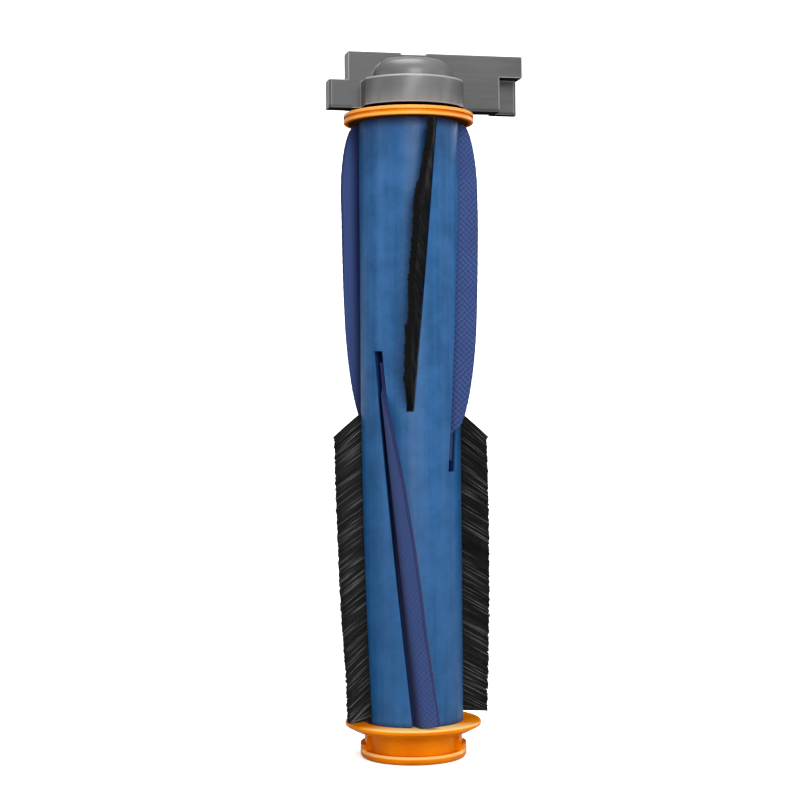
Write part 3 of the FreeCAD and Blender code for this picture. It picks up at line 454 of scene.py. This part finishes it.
def drum_plastic():
    """Satin blue plastic with soft streaks and faint mottling, darker low down, with painted shade in its
    slots and at both ends.
    """
    shader = Shader("drum_blue", Specular_IOR_Level=0.3, Coat_Weight=0.04, Coat_Roughness=0.4)
    streaks = shader.noise(1.0, 3.0, shader.place((520.0, 520.0, 12.0)))
    mottling = shader.noise(150.0, 6.0, roughness=0.7)
    specks = shader.noise(900.0, 3.0)
    tone = shader.mean(streaks, 0.4, mottling)
    share = shader.spread(tone, 0.0, 1.0, *TONE_RANGE)
    radius, level = shader.round_place()

    fresh = shader.blend(share, colour(12, 71, 118), colour(38, 92, 146))
    lower_end = shader.fade(level, 0.3, 0.0, *LOWER_END_LEVELS)
    skin = shader.blend(lower_end, fresh, colour(14, 61, 103))

    # Painted shade inside the slots
    slots = shader.fade(radius, 1.0, 0.0, *SLOT_SHADE_RADII)
    # Painted shadow of the upper flange on the drum: a faint broad fade, and a dark band just under it
    broad_flange_shadow = shader.fade(level, 0.0, 0.3, *BROAD_FLANGE_SHADOW_LEVELS)
    flange_shadow = shader.fade(level, 0.0, 1.0, *FLANGE_SHADOW_LEVELS)
    # Painted contact shade at the drum's foot, over the lower flange
    foot_shade = shader.fade(level, 0.9, 0.0, *DRUM_FOOT_SHADE_LEVELS)
    # All the drum's painted shade, from the slots, the upper flange and the foot, in one dark navy
    dark = shader.most(slots, broad_flange_shadow, flange_shadow, foot_shade)
    shader.set("Base Color", shader.blend(dark, skin, colour(12, 34, 78)))

    shader.set("Roughness", shader.spread(tone, 0.55, 0.42))
    shader.bump(streaks, 0.15, 0.03)
    shader.bump(specks, 0.2, 0.012)
    return shader.material


def cap_plastic():
    """Glossy orange plastic with painted highlights on its rim, ridges and lower flange, and painted
    shade under the upper one.
    """
    shader = Shader("cap_orange", Specular_Tint=(1.0, 0.7, 0.35, 1.0))
    cloud = shader.noise(110.0, 4.0)
    grain = shader.noise(1500.0, 2.0)
    share = shader.spread(cloud, 0.0, 1.0)
    skin = shader.blend(share, colour(206, 102, 0), colour(228, 130, 2))
    radius, level = shader.round_place()
    _, depth, _ = shader.split(shader.place())

    # Painted highlight along the rim's top edge
    rim_highlight = shader.times(
        shader.band(level, *RIM_HIGHLIGHT_LEVELS, edge=0.15),
        shader.band(radius, *RIM_HIGHLIGHT_RADII, edge=0.2))
    # Painted highlight on the lower flange's upward-facing front edge
    front = shader.fade(depth, 1.0, 0.0, *LOWER_FLANGE_HIGHLIGHT_DEPTHS)
    lower_flange_highlight = shader.times(
        shader.band(level, *LOWER_FLANGE_HIGHLIGHT_LEVELS, edge=0.1),
        shader.times(shader.facing(0.2, 0.8), front))
    # Both painted highlights in one pale cream
    pale = shader.most(shader.times(rim_highlight, 0.7), shader.times(lower_flange_highlight, 0.85))
    skin = shader.blend(pale, skin, colour(255, 208, 128))
    # Painted highlights on the upper flange's two ridges
    ridge_highlights = [shader.band(level, *levels, edge=0.12) for levels in UPPER_RIDGE_HIGHLIGHT_LEVELS]
    both_ridge_highlights = shader.math("ADD", *ridge_highlights)
    skin = shader.blend(shader.times(both_ridge_highlights, 0.5), skin, colour(255, 190, 104))

    # Painted shade on the upper flange's underside, darkest near the drum
    upper_cap = shader.fade(level, 0.0, 1.0, *BETWEEN_CAPS_LEVELS)
    underside = shader.times(shader.math("SUBTRACT", 1.0, shader.facing(-0.9, -0.6)), upper_cap)
    near_drum = shader.fade(radius, 0.95, 0.0, *NEAR_DRUM_RADII)
    shade = shader.times(underside, near_drum)
    shader.set("Base Color", shader.blend(shade, skin, colour(30, 18, 14)))

    dull = shader.most(underside, shader.facing(0.5, 0.9))
    shader.set("Specular IOR Level", shader.spread(dull, 0.13, 0.0, 0.0, 1.0))
    shader.set("Roughness", shader.spread(cloud, 0.2, 0.3))
    shader.bump(grain, 0.1, 0.015)
    return shader.material


def block_plastic():
    """Moulded grey plastic with grain and flow marks, painted highlights on edges and hub front, painted
    shade left and below.
    """
    shader = Shader("block_grey")
    grain = shader.noise(4200.0, 3.0)
    flow = shader.noise(1.0, 3.0, shader.place((60.0, 60.0, 900.0)))
    cloud = shader.noise(70.0, 4.0)
    share = shader.spread(shader.mean(flow, 0.4, cloud), 0.0, 1.0, *TONE_RANGE)
    skin = shader.blend(share, colour(62, 62, 63), colour(74, 74, 75))
    radius, level = shader.round_place()
    side, depth, _ = shader.split(shader.place())

    # Painted shade over the left of the block
    left = shader.fade(side, 0.8, 0.0, *LEFT_SHADE_SIDES)
    skin = shader.blend(left, skin, colour(54, 54, 55))
    # Painted highlight on the front-facing faces before the plate, such as the hub's front
    before_plate = shader.fade(depth, 1.0, 0.0, *BEFORE_PLATE_DEPTHS)
    sideways = shader.math("ABSOLUTE", shader.normal()[0])
    front_highlight = shader.times(before_plate, shader.spread(sideways, 1.0, 0.2, 0.15, 0.95))
    skin = shader.blend(front_highlight, skin, colour(103, 103, 103))

    # Painted highlights along the sharp edges and along the tier's top edge
    true_normal = shader.node("NewGeometry").outputs["True Normal"]
    softened = shader.node("Bevel", {"Radius": 0.5 * MM}, samples=8).outputs["Normal"]
    agreement = shader.node("VectorMath", {0: softened, 1: true_normal}, operation="DOT_PRODUCT")
    edge_highlight = shader.spread(agreement.outputs["Value"], 0.7, 0.0, 0.93, 0.998)
    tier_edge_highlight = shader.times(shader.band(level, *TIER_HIGHLIGHT_LEVELS, edge=0.12), before_plate)
    skin = shader.blend(shader.most(edge_highlight, shader.times(tier_edge_highlight, 0.75)), skin, colour(158, 158, 158))

    # Painted shade on the undersides, and along the foot of the plate outside the hub
    underside = shader.math("SUBTRACT", 1.0, shader.facing(-0.9, -0.5))
    lowest = shader.fade(level, 1.0, 0.0, *BLOCK_FOOT_SHADE_LEVELS)
    foot_shade = shader.times(lowest, shader.fade(radius, 0.0, 0.85, *BLOCK_FOOT_SHADE_RADII))
    shader.set("Base Color", shader.blend(shader.most(underside, foot_shade), skin, colour(24, 24, 25)))

    shader.set("Specular IOR Level", shader.spread(underside, 0.32, 0.0, 0.0, 1.0))
    shader.set("Roughness", shader.spread(grain, 0.28, 0.36))
    shader.bump(grain, 0.2, 0.015)
    shader.bump(flow, 0.2, 0.02)
    return shader.material


def bristle_nylon():
    """Black nylon filaments with a faint tone each, and painted highlights along a few of them."""
    shader = Shader("bristle_black", Roughness=0.55, Specular_IOR_Level=0.12)
    shade = shader.node("Attribute", attribute_name="shade").outputs["Fac"]
    shader.set("Base Color", shader.blend(shade, colour(9, 9, 9), colour(118, 119, 116)))
    return shader.material


def blade_cloth():
    """Close navy twill whose slanted ribs change direction in patches, over fine threads, with painted
    shade near its slots.
    """
    shader = Shader(
        "blade_fabric", Roughness=0.85, Specular_IOR_Level=0.1, Sheen_Weight=0.06, Sheen_Roughness=0.5)
    across, along, _ = shader.split(shader.node("UVMap", uv_map="cloth").outputs["UV"])
    rising = shader.wave(shader.math("ADD", across, along), RIB_PITCH)
    falling = shader.wave(shader.math("SUBTRACT", across, along), RIB_PITCH)
    patches = shader.spread(shader.noise(420.0, 1.0), 0.2, 0.8, 0.4, 0.6)
    ribs = shader.node("Mix", {"Factor": patches, "A": rising, "B": falling}).outputs["Result"]
    threads = shader.times(
        shader.wave(across, THREAD_PITCHES[0]), shader.wave(along, THREAD_PITCHES[1]))
    fuzz = shader.noise(3800.0, 2.0)
    wear = shader.noise(150.0, 4.0)
    weight = shader.node("Attribute", attribute_name="weave").outputs["Fac"]
    hem = shader.node("Attribute", attribute_name="hem").outputs["Fac"]

    height = shader.mean(ribs, 0.75, threads)
    worn_height = shader.times(height, shader.spread(wear, 0.7, 1.0))
    middle = 0.4
    share = shader.math("MULTIPLY_ADD", shader.math("SUBTRACT", worn_height, middle), weight, middle)
    woven = shader.blend(share, colour(29, 43, 87), colour(73, 96, 144))
    fuzzy = shader.blend(shader.spread(fuzz, 0.0, 0.3), woven, colour(46, 52, 104))

    radius, _ = shader.round_place()
    side, _, _ = shader.split(shader.place())
    # Painted shade near the slots, more so at the left; the hems are darker as well
    root = shader.fade(radius, 0.85, 0.0, *BLADE_SHADOW_RADII)
    shadow = shader.times(root, shader.fade(side, 1.0, 0.0, *BLADE_SHADOW_SIDES))
    shader.set("Base Color", shader.blend(shader.most(hem, shadow), fuzzy, colour(24, 32, 74)))
    shader.bump(shader.times(height, weight), 0.6, 0.1)
    shader.bump(fuzz, 0.3, 0.04)
    return shader.material


def simple(name, dark, light, roughness, scale, depth, **constants):
    """A material with a cloudy tone between two colours and a fine relief."""
    shader = Shader(name, **constants)
    cloud = shader.noise(scale, 4.0)
    grain = shader.noise(scale * 8, 2.0)
    skin = shader.blend(shader.spread(cloud, 0.0, 1.0), colour(*dark), colour(*light))
    shader.set("Base Color", skin)
    shader.set("Roughness", shader.spread(cloud, roughness * 0.85, roughness * 1.15))
    shader.bump(grain, 0.3, depth)
    return shader.material


# Name, dark and light colour, roughness, the cloud's scale and the relief's depth
PLAIN_MATERIALS = [
    ("backing_black", (16, 16, 17), (30, 30, 31), 0.5, 200.0, 0.01),
    ("core_white", (205, 203, 196), (228, 226, 220), 0.5, 200.0, 0.01),
    ("felt_grey", (84, 82, 80), (122, 119, 115), 0.95, 900.0, 0.2),
]
METALS = [
    ("bush_brass", (176, 142, 74), (208, 176, 104), 0.3, 400.0, 0.006),
    ("screw_steel", (150, 150, 152), (186, 186, 188), 0.35, 500.0, 0.006),
    ("pin_steel", (176, 176, 178), (204, 204, 206), 0.22, 500.0, 0.004),
    ("clip_steel", (96, 96, 100), (130, 130, 134), 0.4, 500.0, 0.006),
    ("bearing_steel", (186, 186, 188), (212, 212, 214), 0.18, 500.0, 0.003),
]
MATERIALS = {
    "drum_blue": drum_plastic(),
    "cap_orange": cap_plastic(),
    "block_grey": block_plastic(),
    "bristle_black": bristle_nylon(),
    "blade_fabric": blade_cloth(),
}
MATERIALS.update({row[0]: simple(*row) for row in PLAIN_MATERIALS})
MATERIALS.update({row[0]: simple(*row, Metallic=1.0) for row in METALS})


def mesh_object(name, points, faces, material, body):
    """A piece made of points in metres, which rides on a body."""
    mesh = bpy.data.meshes.new(name)
    mesh.from_pydata(points.tolist(), [], faces)
    mesh.update()
    mesh.materials.append(MATERIALS[material])
    mesh.polygons.foreach_set("use_smooth", [True] * len(mesh.polygons))
    piece = bpy.data.objects.new(name, mesh)
    bpy.context.scene.collection.objects.link(piece)
    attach(piece, body)
    return piece


def point_values(piece, name, values):
    """Give a piece's mesh one number a point."""
    attribute = piece.data.attributes.new(name, "FLOAT", "POINT")
    attribute.data.foreach_set("value", np.asarray(values, np.float32))


def grid_faces(rows, columns, first=0, closed=False):
    """Quads between rows of points."""
    last = columns if closed else columns - 1
    return [
        (
            first + row * columns + column,
            first + row * columns + (column + 1) % columns,
            first + (row + 1) * columns + (column + 1) % columns,
            first + (row + 1) * columns + column,
        )
        for row in range(rows - 1)
        for column in range(last)
    ]


def slow_bumps(distance, rng, pitch):
    """A slow uneven wave along a strip, from 0 to 1, with soft crests of about the given pitch."""
    knots = np.arange(0.0, distance.max() + 2 * pitch, pitch)
    knots = knots + rng.uniform(-BUMP_SHIFT, BUMP_SHIFT, len(knots)) * pitch
    crests, troughs = rng.uniform(*CRESTS, len(knots)), rng.uniform(*TROUGHS, len(knots))
    heights = np.where(np.arange(len(knots)) % 2, crests, troughs)
    return np.interp(distance, knots, heights)


def filament_lines(strip, rng):
    """Where every filament of a strip stands, its run from root to tip and its tone and painted highlight
    on the way.
    """
    start, end = END_GAP + FIRST_GAP, strip.length - FLANGE_GAP
    distance = start + (end - start) * (np.arange(FILAMENTS) + rng.random(FILAMENTS)) / FILAMENTS
    # The filaments that get a painted highlight stand on the strip's flanks
    light = rng.random(FILAMENTS) < HIGHLIT_SHARE
    flank = np.where(rng.random(FILAMENTS) < 0.5, -1.0, 1.0)
    inside = rng.uniform(-ROOT_SHARE, ROOT_SHARE, FILAMENTS)
    root_side = np.where(light, flank, inside) * WALL_HALF_THICKNESS
    cluster = (distance / CLUSTER_PITCH).astype(int) * 2 + (root_side > 0)
    clusters = cluster.max() + 1

    def own(stray):
        """Uneven amounts, one a filament."""
        return rng.normal(0.0, stray, FILAMENTS)

    def shared(stray):
        """Uneven amounts that all filaments of a cluster have in common."""
        return rng.normal(0.0, stray, clusters)[cluster]

    rake = RAKE + EXTRA_RAKE * np.exp(-distance / strip.length / EXTRA_RAKE_SHARE)
    rake = np.minimum(rake + own(RAKE_STRAY) + shared(CLUSTER_RAKE_STRAY), end - distance)
    ripple = TIP_RIPPLE[0] * np.sin(distance / TIP_RIPPLE[1] + rng.random() * 6)
    ripple = ripple + FINE_TIP_RIPPLE[0] * np.sin(distance / FINE_TIP_RIPPLE[1])
    first = FIRST_REACH * np.exp(-(distance - start) / FIRST_RUN)
    reach = DRUM_RADIUS + BRISTLE_REACH + ripple + first - np.abs(own(REACH_STRAY))
    reach = reach + shared(CLUSTER_REACH_STRAY)
    lean = strip.lean_at(distance)
    root = DRUM_RADIUS - ROOT_DEPTH
    tip_out = reach * np.cos(lean)
    tip_side = root_side * TIP_SPREAD - reach * np.sin(lean) + own(SIDE_STRAY)
    bulge = strip.bumps * slow_bumps(distance, rng, BUMP_PITCH)
    tip_side = tip_side - bulge * np.clip(0.5 - root_side, 0.0, 1.0)
    bend = shared(CLUSTER_SIDE_STRAY)
    # Painted highlights along a few filaments, each over a part of its length
    highlight_place = rng.uniform(*HIGHLIGHT_PLACES, FILAMENTS)
    highlight = np.where(light, rng.uniform(*HIGHLIGHT_STRENGTHS, FILAMENTS), 0.0) * strip.lit_share
    highlight_run = rng.uniform(*HIGHLIGHT_RUNS, FILAMENTS)
    faint = rng.beta(*FAINT_SPREAD, FILAMENTS) * FAINT_SHADE * strip.lit_share

    lines = []
    slot_step = FILAMENT_STEPS[1]
    for step in FILAMENT_STEPS:
        free = max(0.0, (step - slot_step) / (1 - slot_step))
        out = root + step * (tip_out - root)
        side = root_side + free * (tip_side - root_side) + bend * math.sin(math.pi * 1.5 * free)
        along = rake * free * (1 - DROOP * (1 - free))
        shade = faint + highlight * np.exp(-((free - highlight_place) / highlight_run) ** 2)
        lines.append((out, side, along, shade * min(1.0, step * SHADE_RISE)))
    return distance, lines


def make_bristles(strip, seed):
    """A bristle strip made of single filaments on a thin base wall."""
    rng = np.random.default_rng(seed)
    distance, lines = filament_lines(strip, rng)
    spin = rng.random(FILAMENTS) * 2 * math.pi
    rings, shades = [], []
    for step, (out, side, along, shade) in zip(FILAMENT_STEPS, lines):
        radius = FILAMENT_RADIUS * (1.0 - FILAMENT_TAPER * step)
        for corner in range(FILAMENT_SIDES):
            angle = spin + 2 * math.pi * corner / FILAMENT_SIDES
            lift = radius * np.sin(angle)
            across = side + radius * np.cos(angle)
            rings.append(strip.carry(distance, out - lift * RING_TILT, across, along + lift))
            shades.append(shade)
    points = np.stack(rings, axis=1).reshape(-1, 3)
    per = len(rings)
    faces = []
    for index in range(FILAMENTS):
        first = index * per
        faces += grid_faces(len(FILAMENT_STEPS), FILAMENT_SIDES, first, closed=True)
        faces.append(tuple(range(first + per - FILAMENT_SIDES, first + per)))
    if strip.direction > 0:
        faces = [face[::-1] for face in faces]
    wall, wall_faces = base_wall(strip, len(points))
    points, faces = np.concatenate([points, wall]), faces + wall_faces
    piece = mesh_object(f"filaments_{strip.name}", points, faces, "bristle_black", "roller")
    shades = np.concatenate([np.stack(shades, axis=1).ravel(), np.zeros(len(wall))])
    point_values(piece, "shade", shades)
    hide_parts(f"bristles_{strip.name}")


def base_wall(strip, first):
    """The thin wall at the filaments' roots."""
    steps = np.linspace(END_GAP + WALL_GAP, strip.length - END_GAP, WALL_STEPS)
    low, high = DRUM_RADIUS - ROOT_DEPTH, DRUM_RADIUS + WALL_REACH
    half = WALL_HALF_THICKNESS * WALL_SHARE
    corners = [(low, -half), (high, -half), (high, half), (low, half)]
    points = np.concatenate([strip.carry(step, *np.array(corners).T) for step in steps])
    faces = grid_faces(len(steps), len(corners), first, closed=True)
    last = first + (len(steps) - 1) * len(corners)
    faces.append(tuple(range(first, first + len(corners))))
    faces.append(tuple(range(last, last + len(corners)))[::-1])
    if strip.direction > 0:
        faces = [face[::-1] for face in faces]
    return points, faces


def blade_section(blade, length, wave, curl):
    """One row of the folded cloth: in along one layer, round the core rod, and out again."""
    def layer(offset, share):
        out, side, angle = blade.middle_line(length * share, wave + curl * share)
        return out - math.sin(angle) * offset, side + math.cos(angle) * offset

    centre = DRUM_RADIUS - BEAD_DEPTH
    shares = np.linspace(1.0, 0.0, LAYER_COLUMNS)
    gap_angle = math.asin(LAYER_OFFSET / BEAD_LINE_RADIUS)
    turns = np.linspace(gap_angle, 2 * math.pi - gap_angle, BEAD_COLUMNS)[1:-1]
    points = [layer(LAYER_OFFSET, share) for share in shares]
    points += [
        (centre + BEAD_LINE_RADIUS * math.cos(turn), BEAD_LINE_RADIUS * math.sin(turn)) for turn in turns]
    points += [layer(-LAYER_OFFSET, share) for share in shares[::-1]]
    return np.array(points)


def sway(distance, angle, run, phase):
    """A wave along a blade, in degrees."""
    return angle * math.sin(distance / run + phase)


def blade_sections(blade, rows, end, seed):
    """The folded cloth's section at every place along a blade, with its waves and its uneven edge."""
    phases = np.random.default_rng(seed).random(4) * 2 * math.pi
    sections = []
    for distance in rows:
        wave = sway(distance, *LONG_SWAY, phases[0]) + sway(distance, *SHORT_SWAY, phases[1])
        fading = math.exp(-(distance + BLADE_START) / FLUTTER_RUN)
        wave += FLUTTER * fading * math.sin(distance * FLUTTER_RATE)
        wave = 0.0 if distance < -BLADE_START else math.radians(wave)
        curl = math.radians(sway(distance, *CURL, phases[2]))
        length = blade.length_within(blade.envelope(distance, end))
        if distance > 0:
            length += FRAY * math.sin(distance * FRAY_RATE + phases[3])
        sections.append(blade_section(blade, length, wave, curl))
    return sections


def lay_flat(piece, rows, widths):
    """The cloth's flat coordinates in millimetres: across from its fold, and along the blade."""
    columns = len(widths[0])
    places = np.array([
        (across[column] - across[columns // 2], distance)
        for across, distance in zip(widths, rows)
        for column in range(columns)
    ])
    layer = piece.data.uv_layers.new(name="cloth")
    corners = np.zeros(len(piece.data.loops), np.int32)
    piece.data.loops.foreach_get("vertex_index", corners)
    layer.data.foreach_set("uv", places[corners].astype(np.float32).ravel())


def make_blade(strip, seed, weave):
    """A fabric blade: one strip of cloth folded round its core rod, with its weave's two weights."""
    blade = UPPER_BLADE if strip.upper else LOWER_BLADE
    end = strip.length - END_GAP
    rows = blade.rows(end)
    sections = blade_sections(blade, rows, end, seed)
    columns = len(sections[0])
    points = [strip.carry(distance, *section.T) for distance, section in zip(rows, sections)]
    faces = grid_faces(len(rows), columns)
    if strip.direction < 0:
        faces = [face[::-1] for face in faces]
    piece = mesh_object(f"cloth_{strip.name}", np.concatenate(points), faces, "blade_fabric", "roller")
    point_values(piece, "weave", np.repeat(np.interp(rows, (0.0, end), weave), columns))
    hem = np.zeros((len(rows), columns))
    hem[:, (0, -1)] = HEM_SHADE
    point_values(piece, "hem", hem.ravel())
    widths = [np.concatenate([[0.0], np.cumsum(np.hypot(*np.diff(s, axis=0).T))]) for s in sections]
    lay_flat(piece, rows, widths)
    thicken = piece.modifiers.new("thickness", "SOLIDIFY")
    thicken.thickness = CLOTH_THICKNESS * MM
    thicken.offset = 0.0
    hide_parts(f"fabric_blade_{strip.name}")


def soften(name):
    """Round a carried-over node's sharp edges a little, once its flat faces are in one piece each."""
    piece = frame["nodes"][name]
    weld = piece.modifiers.new("weld", "WELD")
    weld.merge_threshold = WELD_DISTANCE * MM
    flatten = piece.modifiers.new("flatten", "DECIMATE")
    flatten.decimate_type = "DISSOLVE"
    flatten.angle_limit = math.radians(FLAT_ANGLE)
    bevel = piece.modifiers.new("soft_edges", "BEVEL")
    bevel.width = BLOCK_EDGE * MM
    bevel.segments = 2
    bevel.limit_method = "ANGLE"
    bevel.angle_limit = math.radians(BLOCK_EDGE_ANGLE)
    bevel.harden_normals = True


def dress_nodes():
    """Give each carried-over node the material of its slot."""
    slots = {row["node"]: row["material_slot"] for row in frame["record"]["subparts"]}
    for name, piece in frame["nodes"].items():
        piece.data.materials.clear()
        piece.data.materials.append(MATERIALS[slots[name]])


def make_stage():
    """A pale floor that curves up into the backdrop, paler to the camera than to other rays."""
    front, depth, half_width, bend, height, steps = -3.0, 1.2, 3.0, 0.5, 2.5, 24
    profile = [(front, 0.0), (depth, 0.0)]
    for step in range(1, steps + 1):
        angle = math.pi / 2 * step / steps
        profile.append((depth + bend * math.sin(angle), bend * (1 - math.cos(angle))))
    profile.append((depth + bend, height))
    points = [(side * half_width, y, z) for y, z in profile for side in (-1, 1)]
    mesh = bpy.data.meshes.new("backdrop")
    mesh.from_pydata(points, [], grid_faces(len(profile), 2))
    mesh.polygons.foreach_set("use_smooth", [True] * len(mesh.polygons))
    backdrop = bpy.data.objects.new("backdrop", mesh)
    bpy.context.scene.collection.objects.link(backdrop)

    white, grey = (1.0, 1.0, 1.0, 1.0), (0.5, 0.5, 0.5, 1.0)
    shader = Shader("backdrop", Specular_IOR_Level=0.0, Roughness=1.0, Emission_Color=white)
    paper = shader.noise(8.0, 2.0)
    pale = shader.blend(paper, (0.9, 0.9, 0.9, 1.0), (0.93, 0.93, 0.93, 1.0))
    seen = shader.node("LightPath").outputs["Is Camera Ray"]
    shader.set("Base Color", shader.blend(seen, grey, pale))
    shader.set("Emission Strength", shader.times(seen, 0.55))
    mesh.materials.append(shader.material)


# Soft boxes in metres and watts: name, place, what it looks at, width, height and power
MIDDLE = (0.0, 0.0, 0.09)
LIGHTS = [
    ("key", (0.08, -0.85, 0.6), MIDDLE, 0.4, 0.4, 6.0),
    ("front", (-0.06, -0.9, 0.15), MIDDLE, 0.3, 0.6, 4.0),
    ("rim", (0.8, 0.6, 0.15), MIDDLE, 0.12, 0.7, 2.2),
    ("left", (-0.9, -0.25, 0.15), MIDDLE, 0.3, 1.0, 2.6),
    ("right", (0.95, -0.25, 0.15), MIDDLE, 0.3, 1.0, 2.2),
    ("top", (0.0, 0.1, 1.5), (0.0, 0.1, 0.0), 0.8, 0.8, 15.0),
    ("back", (0.0, 0.7, 1.0), (0.0, 1.6, 0.5), 2.4, 1.0, 22.0),
]
WORLD_STRENGTH = 0.3


def make_lights():
    """Soft boxes in front, at both sides, above and behind, and an even white world."""
    for name, place, target, width, height, power in LIGHTS:
        data = bpy.data.lights.new(name, "AREA")
        data.shape = "RECTANGLE"
        data.size, data.size_y = width, height
        data.energy = power
        lamp = bpy.data.objects.new(name, data)
        bpy.context.scene.collection.objects.link(lamp)
        lamp.location = place
        lamp.rotation_mode = "QUATERNION"
        lamp.rotation_quaternion = (Vector(target) - Vector(place)).to_track_quat("-Z", "Y")
    world = bpy.data.worlds.new("studio")
    world.use_nodes = True
    background = world.node_tree.nodes["Background"]
    background.inputs["Color"].default_value = (1.0, 1.0, 1.0, 1.0)
    background.inputs["Strength"].default_value = WORLD_STRENGTH
    bpy.context.scene.world = world
    bpy.context.scene.view_settings.view_transform = "Standard"


def make_camera():
    """The camera where the photograph was taken from, level with the middle of the brush."""
    azimuth = math.radians(VIEW_AZIMUTH)
    right = Vector((math.cos(azimuth), math.sin(azimuth), 0.0))
    back = Vector((math.sin(azimuth), -math.cos(azimuth), 0.0))
    up = Vector((0.0, 0.0, 1.0))
    beside = (AXIS_PIXEL - PHOTO_SIDE / 2) / FOCAL_PIXELS * VIEW_DISTANCE
    place = (back * VIEW_DISTANCE - right * beside + up * VIEW_HEIGHT) * MM
    data = bpy.data.cameras.new("camera")
    data.sensor_width = SENSOR
    data.lens = FOCAL_PIXELS / PHOTO_SIDE * SENSOR
    data.clip_start = 0.01
    data.clip_end = 50.0
    camera = bpy.data.objects.new("camera", data)
    bpy.context.scene.collection.objects.link(camera)
    turn = Matrix((right, up, back)).transposed() @ Matrix.Rotation(math.radians(-ROLL), 3, "Z")
    camera.matrix_world = Matrix.Translation(place) @ turn.to_4x4()
    bpy.context.scene.camera = camera


dress_nodes()
for number, strip in enumerate(BRISTLE_STRIPS):
    make_bristles(strip, BRISTLE_SEED + number)
for number, strip in enumerate(BLADE_STRIPS):
    make_blade(strip, BLADE_SEED + number, WEAVES[strip.name])
soften("end_block")
make_stage()
make_lights()
make_camera()
